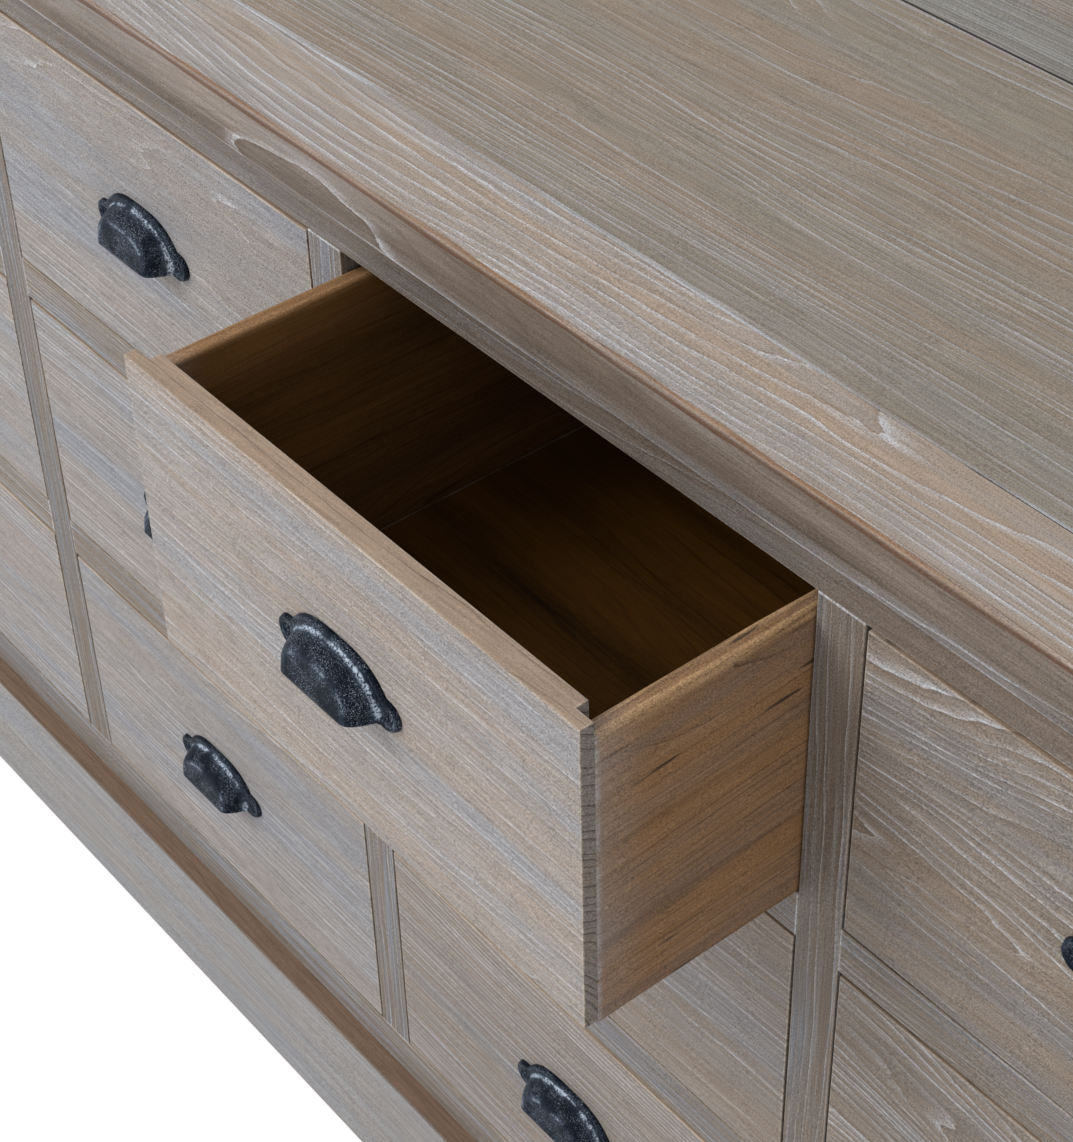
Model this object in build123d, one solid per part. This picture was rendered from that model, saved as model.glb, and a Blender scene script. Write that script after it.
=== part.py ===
"""Low merchant's chest: a face-framed pine carcass on a plinth, with a grid of inset drawers.

The origin is on the floor under the middle of the plinth. +X runs along the front from left
to right, +Y runs from the front to the back and +Z is up. Every length is in millimetres.
Row 1 is the top row and column 1 is the left column.
"""

import os

from build123d import *

# Face frame
columns = 4
rows = 3
opening_w = 334.0
opening_h = 182.0
stile_w = 27.5
frame_t = 28.0
rail_h = 28.0
top_rail_h = 30.0
bottom_rail_h = 32.0

# Mortise and tenon joints of the face frame
tenon_t = 9.0
tenon_shoulder = 5.0
tenon_web = 4.0
post_tenon_l = 12.0
mortise_relief = 0.5

# Carcass behind the face frame
carcass_depth = 405.5
side_t = 20.0
side_board_count = 3
partition_t = 12.0
back_t = 9.0
back_board_count = 10
bottom_t = 12.0
bottom_board_count = 3

# Top, glued up from three boards that run along the chest
top_t = 30.0
top_overhang = 12.0
top_front_board_w = 58.0
top_middle_board_w = 256.0
top_round = 2.5

# Plinth
plinth_h = 106.0
plinth_t = 22.0
plinth_proud = 14.5
plinth_round = 1.5
stretcher_t = 28.0
glue_block_w = 34.0
glue_block_clear = 8.0

# Drawer running gear
runner_lip = 4.0
guide_h = 20.0
stop_w = 40.0
stop_h = 5.0
stop_gap = 0.3
running_gap = 0.3

# Drawer
front_side_gap = 1.5
front_bottom_gap = 1.5
front_top_gap = 2.5
front_t = 14.0
front_lip_t = 7.5
front_round = 1.2
drawer_end_clear = 21.5
drawer_side_t = 11.0
drawer_side_drop = 9.0
drawer_side_round = 3.0
drawer_back_t = 11.0
drawer_back_inset = 8.0
housing_depth = 4.0
drawer_bottom_t = 6.0
drawer_bottom_lift = 7.0
groove_depth = 5.0
groove_relief = 0.5

# Drawers that stand open, by row and column counted from zero
open_travel = 125.0
open_drawers = {(0, 2): open_travel}

# Cup pull; heights are taken from the line through its two screws
pull_shift_x = -3.0
pull_lift = 3.0
screw_spacing = 76.0
ear_r = 8.0
flange_t = 2.5
flange_margin = 3.2
cup_half_w = 32.0
cup_crown = 18.5
cup_crown_half = 14.0
cup_spring = 2.0
cup_lip_drop = 6.5
cup_projection = 17.5
cup_taper = 10.0
cup_wall = 2.5
cup_shoulder_r = 10.0
cup_round = 3.5
flange_round = 0.8

# Pull screws
screw_head_r = 3.6
screw_shank_r = 1.7
screw_head_h = 1.7
screw_sink = 0.5
screw_l = 12.0
screw_clearance = 0.1
screw_pilot_relief = 0.5

# Places worked out from the sizes above
pitch = opening_w + stile_w
frame_w = columns * opening_w + (columns + 1) * stile_w
base_depth = carcass_depth + plinth_proud
y_plinth = -base_depth / 2
y_face = y_plinth + plinth_proud
y_frame_back = y_face + frame_t
y_back = base_depth / 2
y_back_board = y_back - back_t
y_tenon = (y_face + y_frame_back) / 2
x_side_in = frame_w / 2 - side_t
z_bottom_board = plinth_h + bottom_t
z_first = plinth_h + bottom_rail_h
row_pitch = opening_h + rail_h
z_top_rail = z_first + rows * opening_h + (rows - 1) * rail_h
z_top_board = z_top_rail + top_rail_h
rail_tenon_l = (stile_w - tenon_web) / 2
front_h = opening_h - front_bottom_gap - front_top_gap
drawer_l = y_back_board - y_face - drawer_end_clear
drawer_half_w = opening_w / 2 - front_side_gap
drawer_half_in = drawer_half_w - drawer_side_t
upright = Rot(90, 0, 0)


def block(x0, x1, y0, y1, z0, z1):
    """A square-edged piece between two corners."""
    centre = Pos((x0 + x1) / 2, (y0 + y1) / 2, (z0 + z1) / 2)
    return centre * Box(x1 - x0, y1 - y0, z1 - z0)


def stile_x(index):
    """The middle of a stile, counted from the left end."""
    return (index - columns / 2) * pitch


def opening_x(column):
    """The middle of a column of openings."""
    return stile_x(column) + pitch / 2


def opening_z(row):
    """The lower edge of an opening, which is also the height that its drawer runs at."""
    return z_first + (rows - 1 - row) * row_pitch


def boards(count, start, stop, make):
    """Boards of equal width laid edge to edge from start to stop."""
    width = (stop - start) / count
    return Compound([make(start + i * width, start + (i + 1) * width) for i in range(count)])


def post_tenon(x, z0, z1):
    """The tenon on one end of a stile."""
    half = stile_w / 2 - tenon_shoulder
    return block(x - half, x + half, y_tenon - tenon_t / 2, y_tenon + tenon_t / 2, z0, z1)


def rail_tenon(x0, x1, z):
    """The tenon on one end of a short rail whose lower edge is at z."""
    z0, z1 = z + tenon_shoulder, z + rail_h - tenon_shoulder
    return block(x0, x1, y_tenon - tenon_t / 2, y_tenon + tenon_t / 2, z0, z1)


def stile(index):
    """An upright of the face frame, tenoned at both ends and mortised for the short rails."""
    x = stile_x(index)
    post = block(x - stile_w / 2, x + stile_w / 2, y_face, y_frame_back, z_first, z_top_rail)
    post += post_tenon(x, z_top_rail, z_top_rail + post_tenon_l)
    post += post_tenon(x, z_first - post_tenon_l, z_first)
    depth = rail_tenon_l + mortise_relief
    for row in range(rows - 1):
        z = opening_z(row) - rail_h
        if index > 0:
            post -= rail_tenon(x - stile_w / 2, x - stile_w / 2 + depth, z)
        if index < columns:
            post -= rail_tenon(x + stile_w / 2 - depth, x + stile_w / 2, z)
    return post


def short_rail(row, column):
    """The rail under one opening, tenoned into the stiles at its ends."""
    x0, x1 = opening_x(column) - opening_w / 2, opening_x(column) + opening_w / 2
    z = opening_z(row) - rail_h
    rail = block(x0, x1, y_face, y_frame_back, z, z + rail_h)
    return rail + rail_tenon(x0 - rail_tenon_l, x0, z) + rail_tenon(x1, x1 + rail_tenon_l, z)


def long_rail(z0, z1, z_mortise0, z_mortise1):
    """A full-length rail with a mortise for every stile."""
    rail = block(-frame_w / 2, frame_w / 2, y_face, y_frame_back, z0, z1)
    for index in range(columns + 1):
        rail -= post_tenon(stile_x(index), z_mortise0, z_mortise1)
    return rail


def face_frame():
    """The rails and stiles of the front."""
    depth = post_tenon_l + mortise_relief
    return {
        "top_rail": long_rail(z_top_rail, z_top_board, z_top_rail, z_top_rail + depth),
        "bottom_rail": long_rail(plinth_h, z_first, z_first - depth, z_first),
        "end_stiles": Compound([stile(0), stile(columns)]),
        "middle_stiles": Compound([stile(i) for i in range(1, columns)]),
        "drawer_rails": Compound(
            [short_rail(r, c) for r in range(rows - 1) for c in range(columns)]
        ),
    }


def walls(column):
    """The inner faces of the partitions or sides that stand beside a column."""
    left = -x_side_in if column == 0 else stile_x(column) + partition_t / 2
    right = x_side_in if column == columns - 1 else stile_x(column + 1) - partition_t / 2
    return left, right


def runner_pair(column, z0, z1, reach):
    """Two battens along the walls of a column, reaching past the edges of the opening."""
    left, right = walls(column)
    edge0 = opening_x(column) - opening_w / 2 + reach
    edge1 = opening_x(column) + opening_w / 2 - reach
    return [
        block(left, edge0, y_frame_back, y_back_board, z0, z1),
        block(edge1, right, y_frame_back, y_back_board, z0, z1),
    ]


def runners(row):
    """The battens that carry one row of drawers, which also keep the row below from tipping."""
    reach = front_side_gap + drawer_side_t + runner_lip
    z0 = z_bottom_board if row == rows - 1 else opening_z(row) - rail_h
    pairs = [runner_pair(c, z0, opening_z(row), reach) for c in range(columns)]
    return Compound([batten for pair in pairs for batten in pair])


def kickers():
    """The battens over the top row, which keep it from tipping and hold the top down."""
    reach = front_side_gap + drawer_side_t + runner_lip
    pairs = [runner_pair(c, z_top_rail, z_top_board, reach) for c in range(columns)]
    return Compound([batten for pair in pairs for batten in pair])


def guides():
    """The strips beside the drawer sides, level with the edges of the openings."""
    pairs = [
        runner_pair(c, opening_z(r), opening_z(r) + guide_h, 0)
        for r in range(rows)
        for c in range(columns)
    ]
    return Compound([strip for pair in pairs for strip in pair])


def stops():
    """The blocks behind the drawer fronts that bring each front flush with the face frame."""
    y0 = y_face + front_t + stop_gap
    return Compound(
        [
            block(
                opening_x(c) - stop_w / 2,
                opening_x(c) + stop_w / 2,
                y0,
                y_frame_back,
                opening_z(r),
                opening_z(r) + stop_h,
            )
            for r in range(rows)
            for c in range(columns)
        ]
    )


def side_boards(side):
    """The upright boards of one end of the carcass; side is -1 at the left and 1 at the right."""
    x0, x1 = sorted((side * x_side_in, side * frame_w / 2))
    return boards(
        side_board_count,
        y_frame_back,
        y_back,
        lambda y0, y1: block(x0, x1, y0, y1, plinth_h, z_top_board),
    )


def partition(index):
    """An upright panel behind a middle stile."""
    x = stile_x(index)
    x0, x1 = x - partition_t / 2, x + partition_t / 2
    return block(x0, x1, y_frame_back, y_back_board, z_bottom_board, z_top_board)


def carcass():
    """The boards and battens behind the face frame."""
    return {
        "left_side_boards": side_boards(-1),
        "right_side_boards": side_boards(1),
        "partitions": Compound([partition(i) for i in range(1, columns)]),
        "back_boards": boards(
            back_board_count,
            -x_side_in,
            x_side_in,
            lambda x0, x1: block(x0, x1, y_back_board, y_back, plinth_h, z_top_board),
        ),
        "bottom_boards": boards(
            bottom_board_count,
            y_frame_back,
            y_back_board,
            lambda y0, y1: block(-x_side_in, x_side_in, y0, y1, plinth_h, z_bottom_board),
        ),
        "top_row_runners": runners(0),
        "middle_row_runners": Compound(
            [batten for r in range(1, rows - 1) for batten in runners(r).solids()]
        ),
        "bottom_row_runners": runners(rows - 1),
        "kickers": kickers(),
        "drawer_guides": guides(),
        "drawer_stops": stops(),
    }


def top_board(y0, y1, at_front, at_back):
    """One board of the top, rounded along the edges that stay free after gluing up."""
    half = frame_w / 2 + top_overhang
    board = block(-half, half, y0, y1, z_top_board, z_top_board + top_t)
    free = board.edges().filter_by(Axis.Y)
    along = board.edges().filter_by(Axis.X).sort_by(Axis.Y)
    if at_front:
        free += along[:2]
    if at_back:
        free += along[-2:]
    return fillet(free, top_round)


def top():
    """The three boards of the top."""
    y0 = y_face - top_overhang
    y1 = y0 + top_front_board_w
    y2 = y1 + top_middle_board_w
    return {
        "top_front_board": top_board(y0, y1, True, False),
        "top_middle_board": top_board(y1, y2, False, False),
        "top_rear_board": top_board(y2, y_back, False, True),
    }


def plinth_board(points):
    """A plinth board cut to its plan."""
    return extrude(make_face(Polyline(*points, close=True)), plinth_h)


def plinth():
    """The base: mitred front corners, a back board, stretchers and glue blocks."""
    x_out = frame_w / 2 + plinth_proud
    x_in = x_out - plinth_t
    y_in = y_plinth + plinth_t
    y_back_in = y_back - plinth_t
    front = plinth_board([(-x_out, y_plinth), (x_out, y_plinth), (x_in, y_in), (-x_in, y_in)])
    front_top = front.edges().filter_by(Axis.X).group_by(Axis.Z)[-1].sort_by(Axis.Y)[0]
    front = fillet(front_top, plinth_round)
    sides = []
    for side in (-1, 1):
        plan = [
            (side * x_out, y_plinth),
            (side * x_out, y_back),
            (side * x_in, y_back),
            (side * x_in, y_in),
        ]
        board = plinth_board(plan)
        outer = board.edges().filter_by(Axis.Y).group_by(Axis.Z)[-1].sort_by(Axis.X)
        sides.append(fillet(outer[0] if side < 0 else outer[-1], plinth_round))
    stretchers = [
        block(
            stile_x(i) - stretcher_t / 2, stile_x(i) + stretcher_t / 2, y_in, y_back_in, 0, plinth_h
        )
        for i in range(1, columns)
    ]
    z0, z1 = glue_block_clear, plinth_h - glue_block_clear
    blocks = []
    for side in (-1, 1):
        x0, x1 = sorted((side * x_in, side * (x_in - glue_block_w)))
        blocks.append(block(x0, x1, y_in, y_in + glue_block_w, z0, z1))
        blocks.append(block(x0, x1, y_back_in - glue_block_w, y_back_in, z0, z1))
    return {
        "plinth_front": front,
        "plinth_sides": Compound(sides),
        "plinth_back": block(-x_in, x_in, y_back_in, y_back, 0, plinth_h),
        "plinth_stretchers": Compound(stretchers),
        "plinth_glue_blocks": Compound(blocks),
    }


def screw_places():
    """The two screw centres of a pull, on the drawer front's face."""
    z = front_bottom_gap + front_h / 2 + pull_lift
    return [(pull_shift_x + side * screw_spacing / 2, z) for side in (-1, 1)]


def drawer_front():
    """A drawer front with rebated ends, a groove for the bottom and two pilot holes.

    Its face is at y = 0 and it stands over z = 0, the lower edge of its opening.
    """
    z0, z1 = front_bottom_gap, front_bottom_gap + front_h
    panel = block(-drawer_half_w, drawer_half_w, 0, front_t, z0, z1)
    for side in (-1, 1):
        x0, x1 = sorted((side * drawer_half_in, side * drawer_half_w))
        panel -= block(x0, x1, front_lip_t, front_t, z0, z1)
    floor = running_gap + drawer_bottom_lift
    panel -= block(
        -drawer_half_in, drawer_half_in, front_t - groove_depth, front_t, floor, floor + drawer_bottom_t
    )
    face_edges = panel.edges().group_by(Axis.Y)[0]
    panel = fillet(face_edges, front_round)
    for x, z in screw_places():
        hole_l = screw_l - flange_t + screw_sink + screw_pilot_relief
        hole = Cylinder(screw_shank_r + screw_clearance, hole_l)
        panel -= Pos(x, hole_l / 2, z) * upright * hole
    return panel


def drawer_side(side):
    """A drawer side with a rounded top edge, a groove for the bottom and a housing for the back."""
    x0, x1 = sorted((side * drawer_half_in, side * drawer_half_w))
    z0, z1 = running_gap, front_bottom_gap + front_h - drawer_side_drop
    board = block(x0, x1, front_lip_t, drawer_l, z0, z1)
    top_edges = board.edges().filter_by(Axis.Y).group_by(Axis.Z)[-1]
    board = fillet(top_edges, drawer_side_round)
    inner = side * drawer_half_in
    floor = z0 + drawer_bottom_lift
    g0, g1 = sorted((inner, inner + side * (groove_depth + groove_relief)))
    board -= block(g0, g1, front_t, drawer_l, floor, floor + drawer_bottom_t)
    h0, h1 = sorted((inner, inner + side * housing_depth))
    y1 = drawer_l - drawer_back_inset
    board -= block(h0, h1, y1 - drawer_back_t, y1, floor + drawer_bottom_t, z1)
    return board


def drawer_back():
    """The drawer's back, which stands on the bottom and is housed in the sides."""
    half = drawer_half_in + housing_depth
    y1 = drawer_l - drawer_back_inset
    z0 = running_gap + drawer_bottom_lift + drawer_bottom_t
    z1 = front_bottom_gap + front_h - drawer_side_drop - drawer_side_round
    return block(-half, half, y1 - drawer_back_t, y1, z0, z1)


def drawer_bottom():
    """The drawer's bottom, slid into the grooves from the back."""
    half = drawer_half_in + groove_depth
    y0 = front_t - groove_depth + groove_relief
    y1 = drawer_l - drawer_back_inset
    z0 = running_gap + drawer_bottom_lift
    panel = block(-drawer_half_in, drawer_half_in, y0, y1, z0, z0 + drawer_bottom_t)
    return panel + block(-half, half, front_t, y1, z0, z0 + drawer_bottom_t)


def drawer_box():
    """The four pieces behind a drawer front."""
    return Compound([drawer_side(-1), drawer_side(1), drawer_back(), drawer_bottom()])


def arch(half_w, spring, crown_half, crown, bottom, shoulder_r):
    """An upright arched outline with straight shoulders, rounded where they bend."""
    points = [
        (-half_w, bottom),
        (-half_w, spring),
        (-crown_half, crown),
        (crown_half, crown),
        (half_w, spring),
        (half_w, bottom),
    ]
    face = make_face(Polyline(*points, close=True))
    return upright * fillet(face.vertices().sort_by(Axis.Y)[2:], shoulder_r)


def cup_shell(inset, projection, bottom):
    """The cup's tapered body, drawn in by inset all round."""
    base = arch(
        cup_half_w - inset,
        cup_spring,
        cup_crown_half,
        cup_crown - inset,
        bottom,
        cup_shoulder_r,
    )
    tip = arch(
        cup_half_w - cup_taper - inset,
        cup_spring - cup_taper / 2,
        cup_crown_half - cup_taper / 2,
        cup_crown - cup_taper - inset,
        bottom,
        cup_shoulder_r / 2,
    )
    return loft([base, Pos(0, -projection, 0) * tip], ruled=True)


def cup_flange():
    """The flat rim of the pull: an arch that runs out into an ear at each end."""
    ears = [Pos(side * screw_spacing / 2, 0) * Circle(ear_r) for side in (-1, 1)]
    top_z = cup_crown + flange_margin
    top_half = cup_crown_half + flange_margin
    points = [(-cup_half_w, 0), (-top_half, top_z), (top_half, top_z), (cup_half_w, 0)]
    crown = make_face(Polyline(*points, close=True))
    crown = fillet(crown.vertices().sort_by(Axis.Y)[2:], cup_shoulder_r)
    outline = make_hull(crown.edges() + ears[0].edges() + ears[1].edges())
    plate = upright * extrude(outline, flange_t)
    return fillet(plate.edges().group_by(Axis.Y)[0], flange_round)


def countersink(x, head_r, shank_r, length):
    """A countersunk screw, or the hole for one, with its head sunk in the flange."""
    y = screw_sink - flange_t
    head = Pos(x, y + screw_head_h / 2, 0) * upright * Cone(shank_r, head_r, screw_head_h)
    shank = Pos(x, y + length / 2, 0) * upright * Cylinder(shank_r, length)
    return head + shank


def cup_pull():
    """A cast cup pull with two ears, and its two screws, centred on its screw line."""
    body = cup_shell(0, cup_projection, -cup_lip_drop)
    rim = body.edges().group_by(Axis.Y)[0].sort_by(Axis.Z)[1:]
    body = fillet(rim, cup_round)
    cavity = cup_shell(cup_wall, cup_projection - cup_wall, -cup_lip_drop - ear_r)
    casting = cup_flange() + body - cavity
    seat_r = screw_head_r + screw_clearance
    screws = []
    for side in (-1, 1):
        x = side * screw_spacing / 2
        casting -= countersink(x, seat_r, screw_shank_r + screw_clearance, screw_l)
        casting -= Pos(x, -flange_t, 0) * upright * Cylinder(seat_r, 2 * screw_sink)
        screws.append(countersink(x, screw_head_r, screw_shank_r, screw_l).solid())
    return Compound([casting.solid()] + screws)


def drawers():
    """Every drawer as its front, its box and its pull, named by row and column."""
    front, box, pull = drawer_front(), drawer_box(), cup_pull()
    pull = Pos(pull_shift_x, 0, front_bottom_gap + front_h / 2 + pull_lift) * pull
    nodes = {}
    for row in range(rows):
        for column in range(columns):
            y = y_face - open_drawers.get((row, column), 0.0)
            place = Pos(opening_x(column), y, opening_z(row))
            tag = f"r{row + 1}c{column + 1}"
            nodes[f"drawer_front_{tag}"] = place * front
            nodes[f"drawer_box_{tag}"] = place * box
            nodes[f"cup_pull_{tag}"] = place * pull
    return nodes


def write(nodes):
    """Write one STEP file for each node."""
    os.makedirs("parts", exist_ok=True)
    for name, shape in nodes.items():
        export_step(shape, f"parts/{name}.step")


write({**face_frame(), **carcass(), **top(), **plinth(), **drawers()})
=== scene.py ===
"""Dresses the merchant's chest: limed boards, natural drawer wood and cast iron cup pulls.

Every length is in metres in the frame's own axes: +X along the front, +Y to the back, +Z up.
"""

import logging
import math
import random
from collections.abc import Iterator, Sequence
from dataclasses import dataclass, field, replace
from enum import Enum

import bmesh
import bpy
import numpy as np
from mathutils import Matrix, Vector


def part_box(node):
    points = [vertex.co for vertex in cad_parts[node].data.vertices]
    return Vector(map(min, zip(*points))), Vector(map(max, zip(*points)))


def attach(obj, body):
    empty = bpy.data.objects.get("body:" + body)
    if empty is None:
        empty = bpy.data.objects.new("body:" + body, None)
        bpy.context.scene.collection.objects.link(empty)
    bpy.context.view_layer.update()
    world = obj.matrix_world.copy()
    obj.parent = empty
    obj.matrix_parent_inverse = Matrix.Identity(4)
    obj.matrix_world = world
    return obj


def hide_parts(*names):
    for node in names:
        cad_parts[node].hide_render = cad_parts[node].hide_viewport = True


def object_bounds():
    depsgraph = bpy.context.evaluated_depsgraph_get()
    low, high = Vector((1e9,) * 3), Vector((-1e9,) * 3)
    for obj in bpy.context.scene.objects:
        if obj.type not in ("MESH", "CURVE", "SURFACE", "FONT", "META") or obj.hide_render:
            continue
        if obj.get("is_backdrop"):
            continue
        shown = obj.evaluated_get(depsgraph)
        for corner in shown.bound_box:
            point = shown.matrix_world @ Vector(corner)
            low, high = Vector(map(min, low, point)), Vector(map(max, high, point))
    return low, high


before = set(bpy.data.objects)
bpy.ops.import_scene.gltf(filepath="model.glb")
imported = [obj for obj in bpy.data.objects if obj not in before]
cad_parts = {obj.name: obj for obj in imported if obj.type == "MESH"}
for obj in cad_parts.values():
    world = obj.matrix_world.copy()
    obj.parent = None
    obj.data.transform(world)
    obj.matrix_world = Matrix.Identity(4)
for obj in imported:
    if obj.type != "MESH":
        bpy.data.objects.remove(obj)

LOG = logging.getLogger("chest")
ROWS = 3
COLUMNS = 4

Colour = tuple[float, float, float, float]
Waves = tuple[float, float, float]


class Axis(Enum):
    """One of the frame's three axes."""

    X = 0
    Y = 1
    Z = 2

    @property
    def others(self) -> tuple[int, int]:
        """The other two axes, in the order that makes a right-handed turn with this one."""
        return (self.value + 1) % 3, (self.value + 2) % 3


class Sawing(Enum):
    """How a board was sawn from its log, as the pith's distance across and behind its face."""

    FLAT = (0.02, 0.085)
    RIFT = (0.12, 0.075)
    TANGENT = (0.009, 0.08)


def srgb(red: int, green: int, blue: int) -> Colour:
    """Turns a colour as seen on a screen into the linear colour of a shader.

    Args:
        red: Red from 0 to 255.
        green: Green from 0 to 255.
        blue: Blue from 0 to 255.

    Returns:
        The linear colour, opaque.
    """
    shares = [value / 255 for value in (red, green, blue)]
    linear = [s / 12.92 if s <= 0.04045 else ((s + 0.055) / 1.055) ** 2.4 for s in shares]
    return (linear[0], linear[1], linear[2], 1.0)


class Graph:
    """Adds nodes to a tree and joins them by value."""

    def __init__(self, tree: bpy.types.NodeTree) -> None:
        """Keeps the tree that the nodes go into."""
        self.tree = tree

    def node(self, kind: str, *values: object, **settings: object) -> bpy.types.Node:
        """Adds one node.

        Args:
            kind: The node's type.
            values: What goes into its inputs in order: a socket, a plain value, or None to leave one.
            settings: Properties of the node.

        Returns:
            The new node.
        """
        made = self.tree.nodes.new(kind)
        for name, value in settings.items():
            setattr(made, name, value)
        for socket, value in zip(made.inputs, values):
            self.feed(socket, value)
        return made

    def feed(self, socket: bpy.types.NodeSocket, value: object) -> None:
        """Links a socket to another one, or sets its value, unless the value is None."""
        if isinstance(value, bpy.types.NodeSocket):
            self.tree.links.new(value, socket)
        elif value is not None:
            socket.default_value = value

    def math(self, operation: str, *values: object) -> bpy.types.NodeSocket:
        """One step of arithmetic on single numbers."""
        return self.node("ShaderNodeMath", *values, operation=operation).outputs[0]

    def times(self, first: object, second: object) -> bpy.types.NodeSocket:
        """The product of two numbers."""
        return self.math("MULTIPLY", first, second)

    def times_plus(self, first: object, second: object, added: object) -> bpy.types.NodeSocket:
        """The product of two numbers with a third one added."""
        return self.math("MULTIPLY_ADD", first, second, added)

    def vector(self, operation: str, *values: object) -> bpy.types.NodeSocket:
        """One step of arithmetic on vectors."""
        return self.node("ShaderNodeVectorMath", *values, operation=operation).outputs[0]

    def scaled(self, vector: object, factor: object) -> bpy.types.NodeSocket:
        """A vector or colour times a number."""
        return self.vector("SCALE", vector, None, None, factor)

    def length(self, vector: object) -> bpy.types.NodeSocket:
        """The length of a vector."""
        return self.node("ShaderNodeVectorMath", vector, operation="LENGTH").outputs["Value"]

    def chance(self, number: object) -> bpy.types.NodeSocket:
        """A random share from 0 to 1 that belongs to a number."""
        return self.node("ShaderNodeTexWhiteNoise", None, number, noise_dimensions="1D").outputs[0]

    def step(
        self, value: object, low: float, high: float, start: float = 0.0, stop: float = 1.0
    ) -> bpy.types.NodeSocket:
        """A smooth rise from start to stop while the value goes from low to high."""
        settings = {"interpolation_type": "SMOOTHSTEP"}
        return self.node("ShaderNodeMapRange", value, low, high, start, stop, **settings).outputs[0]

    def mix(self, share: object, first: object, second: object) -> bpy.types.NodeSocket:
        """A colour between two colours."""
        made = self.node("ShaderNodeMix", data_type="RGBA", clamp_factor=True)
        for index, value in ((0, share), (6, first), (7, second)):
            self.feed(made.inputs[index], value)
        return made.outputs[2]

    def waves(self, place: object, spread: Waves, detail: float) -> bpy.types.Node:
        """Noise with its own number of waves per metre along each axis.

        Args:
            place: The coordinates that it is read at.
            spread: Waves per metre along the three axes.
            detail: How many finer layers it has.

        Returns:
            The noise node, with a number and a colour as outputs.
        """
        stretched = self.vector("MULTIPLY", place, spread)
        return self.node("ShaderNodeTexNoise", stretched, None, 1.0, detail, 0.55)

    def noise(self, place: object, spread: Waves, detail: float) -> bpy.types.NodeSocket:
        """A number that wanders about a half."""
        return self.waves(place, spread, detail).outputs[0]

    def drift(self, place: object, spread: Waves, detail: float) -> bpy.types.NodeSocket:
        """A vector that wanders about zero."""
        return self.vector("SUBTRACT", self.waves(place, spread, detail).outputs["Color"], (0.5,) * 3)

    def relief(
        self, shader: bpy.types.Node, height: object, strength: float, depth: float
    ) -> None:
        """Raises the surface of a shader.

        Args:
            shader: The shader's node.
            height: The height from place to place.
            strength: The share of the height that shows.
            depth: What a height of one stands for, in metres.
        """
        bump = self.node("ShaderNodeBump")
        bump.inputs["Strength"].default_value = strength
        bump.inputs["Distance"].default_value = depth
        self.feed(bump.inputs["Height"], height)
        self.feed(shader.inputs["Normal"], bump.outputs[0])

    def seen(self) -> bpy.types.NodeSocket:
        """One on a ray from the camera, off a gloss or through glass, and zero on the others."""
        rays = self.node("ShaderNodeLightPath").outputs
        direct = self.math("MAXIMUM", rays["Is Camera Ray"], rays["Is Glossy Ray"])
        return self.math("MAXIMUM", direct, rays["Is Transmission Ray"])


def new_material(name: str) -> tuple[bpy.types.Material, Graph, bpy.types.Node]:
    """Starts a material with one plain shader.

    Args:
        name: The material's name.

    Returns:
        The material, the graph of its tree and its shader node.
    """
    material = bpy.data.materials.new(name)
    material.use_nodes = True
    shader = material.node_tree.nodes["Principled BSDF"]
    return material, Graph(material.node_tree), shader


SWAY_WAVES = (1.7, 8.0, 8.0)
RIPPLE_WAVES = (14.0, 60.0, 60.0)
FIBRE_WAVES = (30.0, 900.0, 900.0)
SPECKLE_WAVES = (1100.0, 1700.0, 1700.0)
STRAND_WAVES = (7.0, 260.0, 260.0)
PATCH_WAVES = (3.2, 24.0, 24.0)
HUE_WAVES = (2.3, 34.0, 34.0)
STREAK_WAVES = (3.0, 150.0, 150.0)
FLECK_WAVES = (22.0, 190.0, 190.0)
HUE_SHIFT = (4.3, 1.7, 2.9)
BOARD_SHIFT = (9.7, 0.045, 0.02)
RIPPLE = 0.0036
UNEVEN_WAVES = 45.0
UNEVEN_RINGS = 1.4
RING_SHIFT = 0.45
LEAST_SLANT = 0.02
PLAIN_OFFSET = 0.09
PLAIN_BOARDS = 9.0
END_LOSS = 0.8
LATE_LOSS = 0.45
OWN_LIME = 0.3
PATCH_SHIFT = 0.1
MIDDLE_SHADE = 0.95
BOARD_SHADE = 0.1
WOOD_RELIEF = 0.0005
IRON_RELIEF = 0.0003
FLECK = srgb(44, 26, 14)
# Painted shade on the lower side of the top's front arris.
ARRIS_SHADE = srgb(96, 64, 42)
CRACK = srgb(40, 34, 30)


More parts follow.
